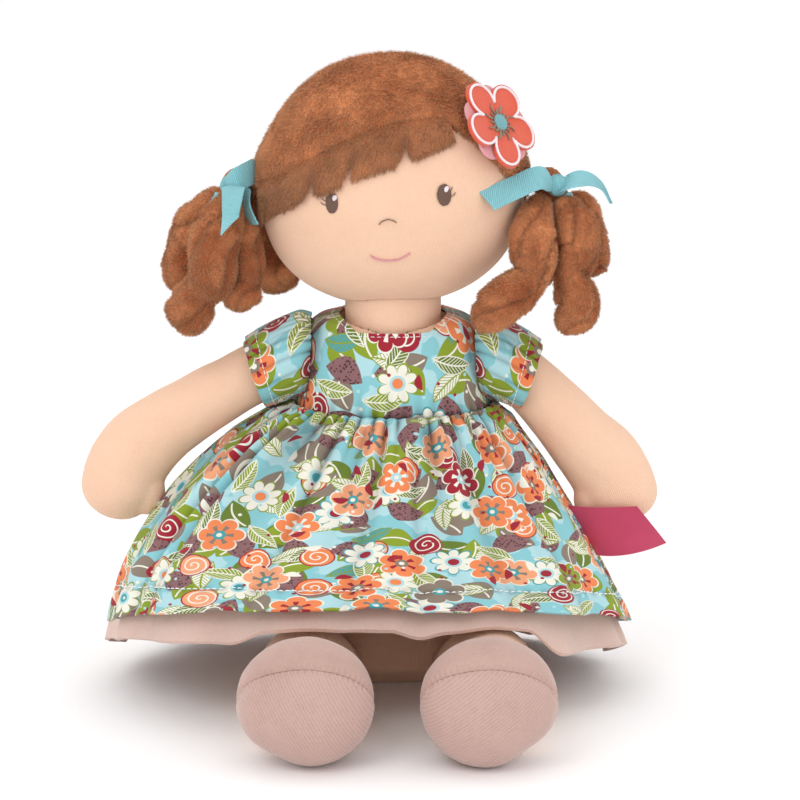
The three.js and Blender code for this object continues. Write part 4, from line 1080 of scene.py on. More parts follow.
# The halves between the side seams, with their shares round the skirt and up it.
def skirtHalves(columns, rows):
    trim = seam / skirt["hemWidth"] / 4
    for half, (start, end) in {"front": (0.5, 1), "back": (0, 0.5)}.items():
        u = blend(start + trim, end - trim, np.linspace(0, 1, columns))[None]
        yield half, u, rowShares(rows)


def makeSkirt():
    for half, u, v in skirtHalves(400, 78):
        base = skirtPoints(u, v)
        out = outwards(base)
        proud, valley = gathers(u, v, base)
        proud = proud[..., None]
        outer = base + out * proud
        inner = base + out * (proud * 0.9 - 0.7)
        flat = skirtFlat(u, v) + np.array([skirt["printShift"] if half == "back" else 0, 0])
        piece = addPiece(f"skirt_{half}_cotton", clothShape(outer, inner, flat, valley=valley),
                         finish["print"], "torso", [f"skirt_{half}"], sharp=60)
        row = int(round(skirt["hemStitch"] * (len(v) - 1)))
        thread = addPiece(f"skirt_{half}_stitching", stitches(outer[row], out[row], 2.7, 0.82, 0.55, 0.35),
                          finish["seamThread"], "torso")


# 1 beside, between and behind the legs and 0 above them.
def besideLegs(x, y):
    nearest = np.minimum(np.abs(x - leg["left"]), np.abs(x - leg["right"]))
    aside = smooth(nearest, leg["width"] * 0.4, leg["width"] * 0.8)
    return np.maximum(aside, smooth(y, -2 * hip["forward"], -hip["forward"]))


def makeUnderskirt():
    under = cloth["cotton"] + cloth["layerEase"]
    for half, u, v in skirtHalves(250, 48):
        base = skirtPoints(u, v * skirt["top"])
        out = outwards(base)
        proud, _ = gathers(u, v * skirt["top"], base)
        layers = []
        for depth, follow in ((under, 0.55), (under + cloth["velour"], 0.35)):
            layer = base + out * ((proud * follow)[..., None] - depth)
            low = (1 - v) ** 2
            swell = 0.9 * np.cos(turn * 13 * u + 2 * np.sin(turn * 4 * u)) * (1 - v) ** 3
            layer = layer + out * swell[..., None]
            dip = np.interp(layer[..., 0], *skirt["dips"]) * besideLegs(layer[..., 0], layer[..., 1]) * low
            layer[..., 0] -= skirt["flare"] * np.exp(-((u - 0.5) / 0.07) ** 2) * low
            layer[..., 2] -= skirt["drop"] * low + dip
            layers.append(layer)
        flat = laidFlat(u * skirt["aroundFlat"], v * skirt["fallFlat"])
        shape = clothShape(*layers, flat)
        shape["marks"]["rib"] = shape["flat"][:, 0]
        piece = addPiece(f"underskirt_{half}_velour", shape, finish["underskirt"], "torso",
                         [f"underskirt_{half}"], sharp=60)


makeSkirt()
makeUnderskirt()
print("skirts made")


# Tag of woven ribbon in the left side seam
tag = {"long": 31, "wide": 25, "thick": 0.5, "bend": 0.38, "around": 0.985, "up": 0.465}


def makeTag():
    fall = np.linalg.norm(skirtPoints(tag["around"], 0.0) - skirtPoints(tag["around"], 1.0))
    v = rowShares(40)
    u = np.linspace(-0.06, 1, 60)[None]
    root = skirtPoints(tag["around"], tag["up"] + (v - 0.5) * tag["wide"] / fall)
    bend = tag["bend"] * tag["long"] * (1 - np.exp(-3 * u)) + 0.5 * np.sin(turn * u * 0.8) * (v - 0.3)
    twist = np.maximum(u, 0) ** 2 * (1 - v)
    outer = vector(root[..., 0] + 2 * seam + u * tag["long"], root[..., 1] - bend + 9 * twist,
                   root[..., 2] + 1.5 * u + 4 * twist)
    out = outwards(outer)
    flat = laidFlat(u * tag["long"], v * tag["wide"])
    piece = addPiece("side_tag_woven", clothShape(outer, outer - out * tag["thick"], flat), finish["tag"],
                     "torso", ["side_tag"], sharp=50)


makeTag()


# Head
head = {"width": 110, "depth": 88, "height": 98, "middle": 212, "side": -1, "lean": -3.5, "jaw": 7,
        "full": 0.085, "rib": 46}


# How much fuller the jaw is than an even oval, by the sine of the rise.
def jawFullness(sine):
    return 1 + head["full"] * smooth(-sine, 0.3, 0.95)


# The head's form for unit arrows: each half size times the arrow, with cheeks wider below than above.
def headPoints(arrows, proud=0.0):
    cheek = 1 - head["jaw"] / head["width"] * np.sin(2 * np.arcsin(np.clip(arrows[..., 2], -1, 1)))
    full = jawFullness(arrows[..., 2])
    proud = np.broadcast_to(proud, arrows.shape[:-1])
    return vector(arrows[..., 0] * cheek * (head["width"] / 2 * full + proud),
                  arrows[..., 1] * (head["depth"] / 2 * full + proud),
                  arrows[..., 2] * (head["height"] / 2 * full + proud))


sineSteps = np.linspace(-1, 1, 2001)


# The point of a layer over the face, seen straight from the front at (x, z).
def onHead(x, z, proud=0.0):
    share = z / (head["height"] / 2 + proud)
    sine = np.interp(share, sineSteps * jawFullness(sineSteps), sineSteps)
    rise, full = np.arcsin(sine), jawFullness(sine)
    cheek = 1 - head["jaw"] / head["width"] * np.sin(2 * rise)
    half = np.cos(rise) * cheek * (head["width"] / 2 * full + proud)
    front = np.sqrt(np.maximum(1 - (x / np.maximum(half, 1)) ** 2, 0))
    return vector(x, -np.cos(rise) * (head["depth"] / 2 * full + proud) * front, z)


# From the head's own frame to the doll's: turned by its lean and lifted to its middle.
def leaned(points):
    c, s = np.cos(np.radians(head["lean"])), np.sin(np.radians(head["lean"]))
    x, y, z = points[..., 0], points[..., 1], points[..., 2]
    return vector(x * c + z * s, y, -x * s + z * c) + np.array([head["side"], 0, head["middle"]])


def makeHead():
    rise = np.pi * (np.concatenate([np.linspace(0, .16, 26)[:-1], np.linspace(.16, 1, 76)]) - 0.5)[:, None]
    around = turn * columnShares(145)
    arrows = ballArrows(rise, around)
    soft = unevenness(headPoints(arrows), 46, 5) * 0.35 - 0.25
    points = leaned(headPoints(arrows, soft))
    radius = neck["width"] / 2 + neck["ease"]
    spread = np.hypot(points[..., 0], points[..., 1])
    socket = neck["tilt"] + np.sqrt(np.maximum(radius ** 2 - spread ** 2, 0))
    inSeat = (spread < radius) & (points[..., 2] < socket)
    points[..., 2] = np.where(inSeat, socket, points[..., 2])
    shape = ribRound(gridShape(points), head["rib"])
    piece = addPiece("head_velour", shape, finish["skin"], "head", ["head"])


makeHead()


# Face: embroidery on the head. Every place is (side, height) in the head's own frame.
face = {
    "eyes": {"right": {"at": (-23.8, -2.9), "wide": 5.0, "tall": 8.9, "tilt": 2, "light": (1.2, 2.0)},
             "left": {"at": (21.6, -2.4), "wide": 5.6, "tall": 9.0, "tilt": -3, "light": (1.0, 2.3)}},
    "lashes": {"right": [[(-25.5, -2.7), (-26.8, -2.0), (-27.9, -1.2)],
                         [(-25.8, -3.9), (-27.2, -3.7), (-28.4, -2.7)]],
               "left": [[(23.8, -1.2), (24.7, -0.5), (25.0, 0.6)],
                        [(24.0, -3.3), (25.4, -3.0), (26.2, -1.8)]]},
    "nose": [(-5.5, -12.8), (-4.5, -11.7), (-3.3, -11.0), (-1.4, -10.6), (0.4, -11.2), (1.2, -11.7),
             (1.9, -12.4)],
    "mouth": [(-10.0, -25.4), (-8.5, -26.8), (-5.8, -27.9), (-2.1, -28.4), (1.7, -28.0), (4.5, -26.8),
              (6.7, -25.4)],
    "thread": 0.42,
}


# Satin stitch: threads side by side across a patch. Each is a tube from one edge of the patch to the other,
# lifted a little in the middle.
def satinPatch(middle, wide, tall, tilt, thread, lift, seed):
    random = np.random.default_rng(seed)
    count = int(tall / thread * 1.25)
    level = np.linspace(-1, 1, count + 2)[1:-1]
    half = wide / 2 * np.sqrt(1 - level ** 2) + random.uniform(-0.06, 0.12, count)
    share = np.linspace(-1, 1, 9)
    x = half[:, None] * share[None]
    z = (level * tall / 2)[:, None] + 0.12 * share[None]
    c, s = np.cos(np.radians(tilt)), np.sin(np.radians(tilt))
    x, z = middle[0] + x * c + z * s, middle[1] - x * s + z * c
    dome = (lift * np.sqrt(np.maximum(1 - (0.8 * level[:, None]) ** 2, 0))
            * np.sqrt(1 - (0.94 * share[None]) ** 2))
    at = onHead(x, z, 0.0)
    out = unit(onHead(x, z, 1.0) - at)
    at = at + out * (dome + 0.02)[..., None]
    ahead = unit(np.gradient(at, axis=1))
    side = unit(np.cross(out, ahead))
    angle = turn * np.arange(6) / 6
    reach = thread / 2 * np.sqrt(1 - (0.85 * share) ** 8)[None, :, None, None]
    return tiledTubes(leaned(threadRings(at, side, out, reach, angle)))


# A sewn line: thread along a curve on the face, thinner at its ends, with the twist of the strands.
def sewnLine(places, width, lift=0.15, steps=60, flat=0.6):
    spots = curveThrough(places, np.linspace(0, 1, steps))
    line = onHead(spots[:, 0], spots[:, 1], lift)
    share = np.linspace(0, 1, steps)
    twist = 1 + 0.08 * np.sin(turn * 14 * share[:, None] + turn * columnShares(11))
    reach = width / 2 * roundedEnds(share, 0.12, 0.12)[:, None] * twist
    return capped(leaned(ringsRound(line, np.maximum(reach, 0.02), 10, (0, 0, 1), squash=flat)))


def makeFace():
    thread = face["thread"]
    for seed, (name, eye) in enumerate(face["eyes"].items()):
        rim = satinPatch(eye["at"], eye["wide"], eye["tall"], eye["tilt"], thread, 0.35, 40 + seed)
        addPiece(f"{name}_eye_satin", rim, finish["brownThread"], "head")
        spot = (eye["at"][0] + eye["light"][0], eye["at"][1] + eye["light"][1])
        light = satinPatch(spot, 1.9, 2.6, 12, 0.3, 0.62, 60 + seed)
        addPiece(f"{name}_eye_light", light, finish["whiteThread"], "head")
        lashes = together(*[sewnLine(places, 0.5) for places in face["lashes"][name]])
        addPiece(f"{name}_eye_lashes", lashes, finish["brownThread"], "head")
    addPiece("nose_thread", sewnLine(face["nose"], 0.65), finish["noseThread"], "head")
    addPiece("mouth_thread", sewnLine(face["mouth"], 1.0), finish["pinkThread"], "head")


makeFace()
print("head and face made")


# Hair over the head: a plush cap and a fringe, with their pile
hair = {"pile": 4.2, "fringe": 4.9, "under": 1.9, "part": 2,
        "line": [[-1.04, .02], [-.98, .1], [-.79, .17], [-.56, .33], [-.27, .47], [.03, .575],
                 [.25, .6], [.46, .565]],
        "sideLine": [[.58, .47], [.7, .345], [.8, .22], [.93, .02], [1.02, -.1]],
        "fringeLow": [[-1, -.33], [-.9, -.2], [-.5, .015], [-.2, .15], [.2, .27], [.5, .38]],
        "nape": [[-1.2, -.14], [.06, -.14], [.2, -.3], [.5, -.52], [1, -.72], [1.4, -.8]],
        "crown": (0.05, 0.62, 0.78), "perRadian": 52, "notches": [0.085, 0.35, 0.525, 0.76]}


# The cap spreads from a crown: round it, each line runs over the head until it meets the hairline.
def capArrows(columns, rows):
    pole = unit(np.array(hair["crown"]))
    first = unit(np.cross(pole, [0, 1, 0]))
    second = np.cross(pole, first)
    angle = turn * np.linspace(0, 1, columns + 1)
    ring = np.cos(angle)[:, None] * first + np.sin(angle)[:, None] * second
    steps = np.linspace(0, 2.7, 900)
    arrows = np.cos(steps)[:, None, None] * pole + np.sin(steps)[:, None, None] * ring[None]
    at = headPoints(arrows, hair["pile"])
    line = np.array(hair["line"] + hair["sideLine"]) * [head["width"] / 2, head["height"] / 2]
    nape = np.array(hair["nape"]) * [head["depth"] / 2, head["height"] / 2]
    inFace = (at[..., 1] < -hair["part"]) & (at[..., 2] < np.interp(at[..., 0], line[:, 0], line[:, 1]))
    below = at[..., 2] < np.interp(at[..., 1], nape[:, 0], nape[:, 1])
    reach = steps[(inFace | below).argmax(0)]
    wide = np.concatenate([reach[-4:-1], reach, reach[1:4]])
    reach = np.convolve(wide, [.05, .1, .2, .3, .2, .1, .05], "valid")
    reach[-1] = reach[0]
    share = 1 - (1 - np.linspace(0, 1, rows)) ** 1.35
    angleOut = share[:, None] * reach[None]
    return (np.cos(angleOut)[..., None] * pole + np.sin(angleOut)[..., None] * ring[None],
            (1 - share)[:, None] * reach[None] * hair["perRadian"])


def makeCap():
    arrows, toEdge = capArrows(200, 90)
    base = headPoints(arrows, 0)
    puffed = hair["pile"] - hair["under"] + unevenness(base, 40, 8) * 0.5
    rounded = np.sqrt(1 - (1 - np.clip(toEdge / 3.5, 0, 1)) ** 2)
    outer = leaned(headPoints(arrows, seam + (puffed - seam) * rounded))
    inner = leaned(headPoints(arrows, seam))
    shape = together(gridShape(outer), gridShape(inner[::-1]))
    under = addPiece("hair_cap_plush", shape, finish["hair"], "head", ["hair_cap"])
    out = outwards(outer, True)
    down = np.gradient(outer, axis=0)
    swirl = unevenness(outer, 34, 9)[..., None]
    lie = unit(unit(down) + np.array([0, 0, -0.5]) + unit(np.gradient(outer, axis=1)) * swirl * 0.9)
    out = pointedAway(out, outer, leaned(np.zeros(3)))
    halves = {"right": slice(0, 101), "left": slice(100, 201)}
    for seed, (side, columns) in enumerate(halves.items()):
        mesh = pileMesh(f"hair_cap_pile_{side}", outer[:, columns], out[:, columns], lie[:, columns], 4.2,
                        2.4, 0.44, 0.62, 100 + seed)
        addPiece(f"hair_cap_pile_{side}", mesh, finish["hair"], "head")


# The fringe hangs between its seam and its cut edge, and each notch that was cut there draws the edge up.
def fringeGrid(proud, columns=220, rows=40):
    u = np.linspace(0, 1, columns)
    top = curveThrough(hair["line"][1:], u)
    low = curveThrough(hair["fringeLow"], u)
    notch = sum(np.exp(-np.abs((u - at) / 0.014) ** 1.3) for at in hair["notches"]) * 0.55
    ragged = 0.03 * np.sin(turn * 31 * u) + 0.025 * np.sin(turn * 57 * u + 1)
    v = rowShares(rows) * (1 - notch + ragged)[None]
    wide, tall = head["width"] / 2, head["height"] / 2
    x = blend(top[:, 0], low[:, 0], v) * wide
    z = blend(top[:, 1] * tall - 2 * seam, low[:, 1] * tall, v)
    fit = np.minimum(1, 0.975 / np.hypot(x / (wide + 4), z / (tall + 4)))
    near = sum(np.exp(-np.abs((u - at) / 0.02) ** 2) for at in hair["notches"])
    # The third result is painted shade for the pile: darker in the notches, and darker along the lower edge
    return onHead(x * fit, z * fit, proud), v, near[None] * smooth(v, 0.1, 0.6) + 0.35 * smooth(v, 0.75, 1)


def makeFringe():
    flatProud, v, paintedPileShade = fringeGrid(0.0)
    edge = np.minimum(1, np.minimum(v / 0.25, 1.15 - v))
    lumps = unevenness(flatProud, 22, 31)
    height = (hair["fringe"] - 1.3 + lumps * 0.45) * np.sqrt(np.clip(edge, 0.05, 1))
    outer, inner = leaned(fringeGrid(height)[0]), leaned(fringeGrid(seam)[0])
    columns = outer.shape[1]
    flat = laidFlat(np.linspace(0, 95, columns)[None], v * 20)
    under = addPiece("fringe_plush", clothShape(outer, inner, flat), finish["fringe"], "head",
                     ["fringe"])
    out = outwards(outer)
    out = pointedAway(out, outer, leaned(np.zeros(3)))
    down = unit(np.gradient(outer, axis=0))
    across = unit(np.gradient(outer, axis=1))
    lie = unit(down + across * unevenness(outer, 18, 33)[..., None] * 0.5)
    mesh = pileMesh("fringe_pile", outer, out, lie, 11.0, 2.4, 0.37, 0.72, 120, scatter=0.18, paintedPileShade=paintedPileShade)
    pile = addPiece("fringe_pile", mesh, finish["fringe"], "head")


makeCap()
makeFringe()
print("cap and fringe made")


# Bunches of curls
bunch = {"forward": 2, "height": 209, "right": -64.5, "left": 64.5, "tie": 14, "stalk": 10, "stalkLong": 14,
         "stalkWay": (0.55, -0.2, -0.81), "wave": 1.2, "turns": 2, "hang": 62, "phase": 0.3,
         "necks": {"right": {"front": 0.7, "outer": 0.55, "middle": 0.75, "rear": 0.6},
                   "left": {"front": 0.55, "outer": 0.62, "middle": 0.7, "rear": 0.6}},
         "widths": {"right": {"front": 22.5, "outer": 19, "middle": 19, "rear": 23},
                    "left": {"front": 21, "outer": 20, "middle": 19, "rear": 19}}}
curls = {
    "right": {
        "front": [[.01, -.13, .04], [.09, -.31, .21], [.15, -.39, .39], [.19, -.39, .58], [.28, -.32, .75],
                  [.37, -.26, .94]],
        "outer": [[.1, 0, .05], [.26, .06, .21], [.37, .08, .43], [.36, .05, .62], [.27, 0, .76]],
        "middle": [[.02, -.1, .06], [0, -.16, .23], [-.05, -.18, .43], [-.04, -.24, .62], [-.02, -.31, .8]],
        "rear": [[.04, .08, .06], [.02, .38, .25], [-.12, .46, .44], [-.24, .34, .6], [-.32, .2, .72]]},
    "left": {
        "front": [[-.06, -.16, .06], [-.11, -.36, .23], [-.12, -.45, .4], [-.17, -.52, .57],
                  [-.31, -.58, .69], [-.5, -.63, .85]],
        "outer": [[.1, -.1, .08], [.16, -.22, .22], [.19, -.27, .37], [.15, -.31, .55], [.18, -.32, .74],
                  [.1, -.32, .95]],
        "middle": [[.14, .06, .08], [.23, .1, .24], [.3, .11, .43], [.27, .1, .64]],
        "rear": [[.04, .08, .06], [.05, .34, .28], [-.02, .38, .5], [-.06, .32, .74]]},
}


# A curl: a stuffed tube that winds about its route, folded lengthwise, with the creases of its bends. Its
# second result is painted shade for the pile in those folds and creases.
def curlRings(side, shares, phase, wide, neckAt, columns=56, rows=110):
    share = evenedSteps(rows)
    route = curveThrough(np.array([(side * out, back, -down) for out, back, down in shares])
                         * bunch["hang"], share)
    wave = bunch["wave"] * np.minimum(1, 3 * share) * np.minimum(1, 4 * (1 - share))
    angle = turn * (bunch["turns"] * share + phase)
    line = route + vector(np.cos(angle) * wave, np.sin(angle) * wave, 0)
    width = wide * blend(0.6, 1, smooth(share, 0, 0.3)) * (1 - 0.2 * np.exp(-((share - neckAt) / 0.07) ** 2))
    around = columnShares(columns + 1)
    down = share[:, None]
    random = np.random.default_rng(int(300 + 100 * phase + 7 * side))
    body = width[:, None] / 2 * (1 + 0.05 * np.sin(turn * (2.6 * down + around + phase)))
    # Painted shade: darker pile in the lengthwise folds and in the creases
    paintedPileShade = 0 * body
    for start, deep, narrow in ((phase, 0.3, 0.05), (phase + 0.36, 0.2, 0.04), (phase + 0.7, 0.24, 0.05)):
        aside = (around - start - 0.5 * down + 0.06 * np.sin(turn * 1.7 * down) + 0.5) % 1 - 0.5
        fold = np.exp(-np.abs(aside / narrow) ** 1.3)
        body = body - deep * width[:, None] / 2 * fold
        paintedPileShade = paintedPileShade + 0.6 * fold
    for spot in np.linspace(0.2, 0.84, 4) + random.uniform(-0.05, 0.05, 4):
        facing = 0.5 + 0.5 * np.cos(turn * (around - random.random()))
        slant = 0.03 * np.sin(turn * (around + random.random()))
        crease = facing ** 1.5 * np.exp(-np.abs((down - spot + slant) / 0.03) ** 1.4)
        body = body - random.uniform(0.7, 1.7) * crease
        paintedPileShade = paintedPileShade + 0.5 * crease
    reach = (body - 0.9) * roundedEnds(share, 0.08, 0.18)[:, None]
    return ringsRound(line, np.maximum(reach, 0.01), columns, (0, 1, 0)), paintedPileShade


# Where a bunch is tied, and the way its stalk points.
def tieOf(name, side):
    tie = np.array([bunch[name], bunch["forward"], bunch["height"]], float)
    return tie, unit(np.array(bunch["stalkWay"]) * [side, 1, 1])


def makeBunches():
    for name, side in bothSides.items():
        tie, stalk = tieOf(name, side)
        share = evenedSteps(40)
        line = tie + stalk * (share * (bunch["stalkLong"] + 7) - 7)[:, None]
        swell = blend(bunch["tie"], bunch["stalk"], smooth(share, 0.35, 0.75)) / 2 - 0.8
        root = ringsRound(line, (swell * roundedEnds(share, 0.3, 0.05))[:, None] + 0.01, 36, (0, 1, 0.1))
        body = f"{name}_pigtail"
        piece = addPiece(f"{name}_root_plush", capped(root), finish["hair"], body, [f"{name}_bunch_root"])
        mesh = pileMesh(f"{name}_root_pile", root, -outwards(root, True), np.gradient(root, axis=0), 5, 1.4,
                        0.34, 0.6, 200 + side)
        addPiece(f"{name}_root_pile", mesh, finish["hair"], body)
        for step, (spot, shares) in enumerate(curls[name].items()):
            rings, paintedPileShade = curlRings(side, shares, bunch["phase"] * step, bunch["widths"][name][spot],
                                   bunch["necks"][name][spot])
            rings = rings + tie
            piece = addPiece(f"{name}_{spot}_curl_plush", capped(rings), finish["hair"], body,
                             [f"{name}_curl_{spot}"])
            out = outwards(rings, True)
            middle = rings[:, :-1].mean(1, keepdims=True)
            out = pointedAway(out, rings, middle)
            around = unit(np.gradient(rings, axis=1))
            down = unit(np.gradient(rings, axis=0))
            lie = unit(down * 0.7 + around * (0.5 + unevenness(rings, 24, 70 + step)[..., None] * 0.8))
            mesh = pileMesh(f"{name}_{spot}_curl_pile", rings, out, lie, 4.4, 1.7, 0.38, 0.6,
                            220 + 10 * side + step, paintedPileShade=paintedPileShade)
            addPiece(f"{name}_{spot}_curl_pile", mesh, finish["hair"], body)


makeBunches()
print("bunches made")


# Ribbons: a band round the stalk, a knot, and strips that loop and hang.
ribbon = {"width": 10, "knot": {"right": 0.75, "left": 0.9}, "thick": 0.55, "band": 1.0, "tail": 20,
          "bandLong": 36, "knotAt": (.16, -.5, .06), "knotSize": (4.6, 3.4, 5.2)}
strips = {
    "right": {
        "band": ([[-.5, -.2, .38], [-.3, -.68, .34], [-.03, -.88, .22], [.14, -.72, .06]],
                 [.2, 0, 1], .85, .1),
        "tail_front": ([[.02, -.62, .1], [.03, -1.06, .06], [.05, -1.54, -.2], [.08, -1.92, -.56]],
                       [.66, .75, .05], .85, .6),
        "tail_side": ([[-.08, -.5, -.05], [-.2, -.86, -.34], [-.38, -1.05, -.68]], [.45, .85, .2], .8, -.4)},
    "left": {
        "tail_inner": ([[.12, -.5, .06], [-.2, -.95, .28], [-.75, -1.4, .14], [-1.32, -1.85, -.06]],
                       [.15, .7, .7], 1, .1),
        "tail_outer": ([[.2, -.5, -.04], [.42, -.64, .14], [.74, -.56, .2], [1.05, -.46, .04],
                        [1.27, -.42, -.34]],
                       [.1, .85, .5], .25, .1)},
}


# A strip of ribbon: its middle runs along a curve and its width lies across it, a little cupped.
def stripShape(side, route, across, endWidth, slanted, columns=14, rows=70):
    share = np.linspace(0, 1, rows)
    line = curveThrough(np.array(route) * [side, 1, 1], share) * ribbon["tail"]
    wide = unit(np.array(across, float) * [side, 1, 1])
    ahead = aheadOf(line)
    wide = unit(wide - ahead * (ahead @ wide)[:, None])
    up = np.cross(ahead, wide)
    place = np.linspace(-0.5, 0.5, columns)
    narrow = (blend(0.55, 1, smooth(share, 0, 0.22)) * blend(1, endWidth, smooth(share, 0.35, 1)))[:, None]
    slant = place * slanted * ribbon["width"] * smooth(share, 0.8, 1)[:, None]
    cup = 0.5 * (place[None] * 2) ** 2 * blend(2.2, 0.6, smooth(share, 0, 0.4))[:, None]
    points = (line[:, None] + wide[:, None] * (place * ribbon["width"] * narrow)[..., None]
              + ahead[:, None] * slant[..., None] + up[:, None] * cup[..., None])
    out = outwards(points)
    gone = lengthAlong(line)
    flat = laidFlat(place[None] * ribbon["width"], gone[:, None])
    half = ribbon["thick"] / 2
    return clothShape(points + out * half, points - out * half, flat), gone[-1]


def makeRibbons():
    for name, side in bothSides.items():
        tie, stalk = tieOf(name, side)
        low, high = bunch["tie"] / 2 + seam, bunch["stalkLong"] - 2 * seam
        profile = np.linspace(0, 1, 25)
        waves = 0.62 + 0.3 * np.abs(np.sin(np.pi * 3 * profile))
        radius = bunch["stalk"] / 2 + seam + ribbon["band"] * waves
        line = tie + stalk * blend(low, high, profile)[:, None]
        outer = ringsRound(line, radius[:, None] * roundedEnds(profile, 0.1, 0.1)[:, None] ** 0.2,
                           48, (0, 1, 0.1))
        inner = ringsRound(line, bunch["stalk"] / 2 + seam, 48, (0, 1, 0.1))
        around = np.linspace(0, turn * 6, 49)[None]
        flat = laidFlat(around, profile[:, None] * 6)
        shapes = [clothShape(outer, inner, flat, isRound=True)]
        total = ribbon["bandLong"]
        for route, across, endWidth, slanted in strips[name].values():
            shape, length = stripShape(side, route, across, endWidth, slanted)
            shape["points"] = shape["points"] + tie
            shapes.append(shape)
            total += length
        knotAt = tie + (np.array(ribbon["knotAt"]) * [side, 1, 1]) * ribbon["tail"]
        rise = np.pi * (np.linspace(0, 1, 20) - 0.5)[:, None]
        way = turn * columnShares(33)
        pleats = 1 + 0.07 * np.sin(way * 7 + 3 * rise)
        wide, deep, tall = ribbon["knotSize"]
        ball = ballArrows(rise, way)
        knot = ribbon["knot"][name] * vector(ball[..., 0] * wide * pleats, ball[..., 1] * deep * pleats,
                                             ball[..., 2] * tall)
        shapes.append(gridShape(knot + knotAt, laidFlat(way * 4, rise * 4)))
        piece = addPiece(f"{name}_ribbon_twill", together(*shapes), finish["ribbon"], f"{name}_pigtail",
                         [f"{name}_ribbon"], sharp=50)
        total * mm


makeRibbons()
print("ribbons made")


# Flower: layers of felt and cotton with a cord round the petals
flower = {"shares": (0.79, -0.46, 0.45), "turn": 0.35, "width": 39.5, "backWidth": 35, "felt": 1.4,
          "petals": 5, "centre": 7, "knotTurn": 2.39996}


# The flower's own frame: where the hair's surface carries it, and its way out, sideways and up.
def flowerFrame():
    proud = hair["pile"] + seam
    seat = onHead(flower["shares"][0] * head["width"] / 2, flower["shares"][2] * head["height"] / 2, proud)
    halves = np.array([head["width"], head["depth"], head["height"]]) / 2 + proud
    out = unit(seat / halves ** 2)
    axis = np.cross([0, 0, 1], out)
    sine, cosine = np.linalg.norm(axis), out[2]
    axis = axis / sine

    def spun(arrow):
        return arrow * cosine + np.cross(axis, arrow) * sine + axis * (axis @ arrow) * (1 - cosine)
    c, s = np.cos(flower["turn"]), np.sin(flower["turn"])
    return seat + out * seam, spun(np.array([c, s, 0.0])), spun(np.array([-s, c, 0.0])), out


def onFlower(points):
    seat, first, second, out = flowerFrame()
    return leaned(seat + points[..., :1] * first + points[..., 1:2] * second + points[..., 2:] * out)


# The petals' outline: the reach swells and draws in once for each petal.
def petalReach(angle, radius, spin):
    swell = np.abs(np.cos(flower["petals"] * angle / 2 + spin * np.pi))
    return radius * (0.44 + 0.56 * swell ** 0.5)


def petalLayer(radius, spin, level, thick, columns=260, rows=26):
    angle = turn * columnShares(columns)
    share = rowShares(rows)
    reach = petalReach(angle, radius, spin) * share
    curl = 0.9 * share ** 3 * np.sin(2 * angle + spin * 3)
    x, y = reach * np.cos(angle), reach * np.sin(angle)
    top = onFlower(vector(x, y, level + thick + np.maximum(curl, 0)))
    low = onFlower(vector(x, y, level + np.maximum(curl, 0)))
    flat = np.stack([x, y], -1)
    return clothShape(top, low, flat, isRound=True)


def makeFlower():
    level = flower["felt"] + seam
    back = petalLayer(flower["backWidth"] / 2, 0.5, 0, flower["felt"])
    piece = addPiece("flower_back_cotton", back, finish["pink"], "head", ["flower_back"],
                     sharp=50)
    front = petalLayer(flower["width"] / 2, 0, level, flower["felt"])
    petals = addPiece("flower_petals_felt", front, finish["coral"], "head", ["flower_petals"],
                      sharp=50)
    angle = turn * np.linspace(0, 1, 400)
    reach = petalReach(angle, flower["width"] / 2, 0) - 1.3
    curl = 0.9 * 0.75 * np.sin(2 * angle)
    line = onFlower(vector(reach * np.cos(angle), reach * np.sin(angle),
                           level + flower["felt"] + 0.25 + np.maximum(curl, 0)))
    strands = turn * 150 * rowShares(400) + turn * columnShares(9)
    twist = 1 + 0.16 * np.sin(strands)
    cordRings = ringsRound(line, 0.56 * twist, 8, unit(flowerFrame()[3]))
    cordPiece = addPiece("flower_outline_cord", gridShape(cordRings), finish["whiteThread"], "head")
    small = []
    for step in range(16):
        way = turn * (step + 0.5) / 16
        share = np.linspace(0, 1, 14)
        long = 3.0 + 2.4 * (step % 2)
        along, bent = 2.9 + share * long, way + 0.2 * np.sin(3 * share)
        middle = vector(along * np.cos(bent), along * np.sin(bent), level + flower["felt"] + 0.3)
        thin = (0.72 * roundedEnds(share, 0.3, 0.3))[:, None] + 0.01
        small.append(capped(ringsRound(onFlower(middle), thin, 8, (0, 0, 1), 0.5)))
    stamens = addPiece("flower_stamens_thread", together(*small), finish["stoneThread"], "head")
    count = 70
    share = (np.arange(count) + 0.5) / count
    way = np.arange(count) * flower["knotTurn"]
    reach = flower["centre"] / 2 * 0.92 * np.sqrt(share)
    dome = 1.5 * np.sqrt(1 - 0.85 * share)
    at = vector(reach * np.cos(way), reach * np.sin(way), 2 * level + dome - 0.4)
    rise = np.pi * (np.linspace(0, 1, 7) - 0.5)[:, None]
    bead = ballArrows(rise, turn * np.arange(8)[None] / 8) * 0.52
    knots = tiledTubes(onFlower(at[:, None, None] + bead[None]))
    way = turn * columnShares(49)
    rise = np.linspace(0, np.pi / 2, 12)[:, None]
    cap = vector(np.cos(way) * np.cos(rise) * flower["centre"] / 2,
                 np.sin(way) * np.cos(rise) * flower["centre"] / 2, 2 * level + np.sin(rise) * 1.3)
    addPiece("flower_centre_knots", together(knots, capped(onFlower(cap))), finish["aquaThread"], "head",
             ["flower_centre"])


makeFlower()
print("flower made")


# Arms and sleeves
arm = {"width": 25, "root": 24.5, "thumb": 15, "voxel": 0.9, "calmed": 8,
       "thumbShares": [.86, 1.15, 1.4, .74, .25, .1],
       "widths": [[0, 1], [.2, .98], [.45, 1], [.62, 1.12], [.78, 1.32], [.9, 1.36], [1, 1.15]],
       "right": {"side": -1, "reach": 81, "drop": 71, "fore": 6,
                 "shares": [[0, 0], [.12, .03], [.33, .165], [.52, .285], [.77, .465], [.915, .62],
                            [.975, .79], [1, 1]]},
       "left": {"side": 1, "reach": 61, "drop": 73, "fore": 4,
                "shares": [[0, 0], [.14, .04], [.33, .165], [.52, .32], [.72, .51], [.88, .66],
                           [.97, .82], [1, 1]]}}


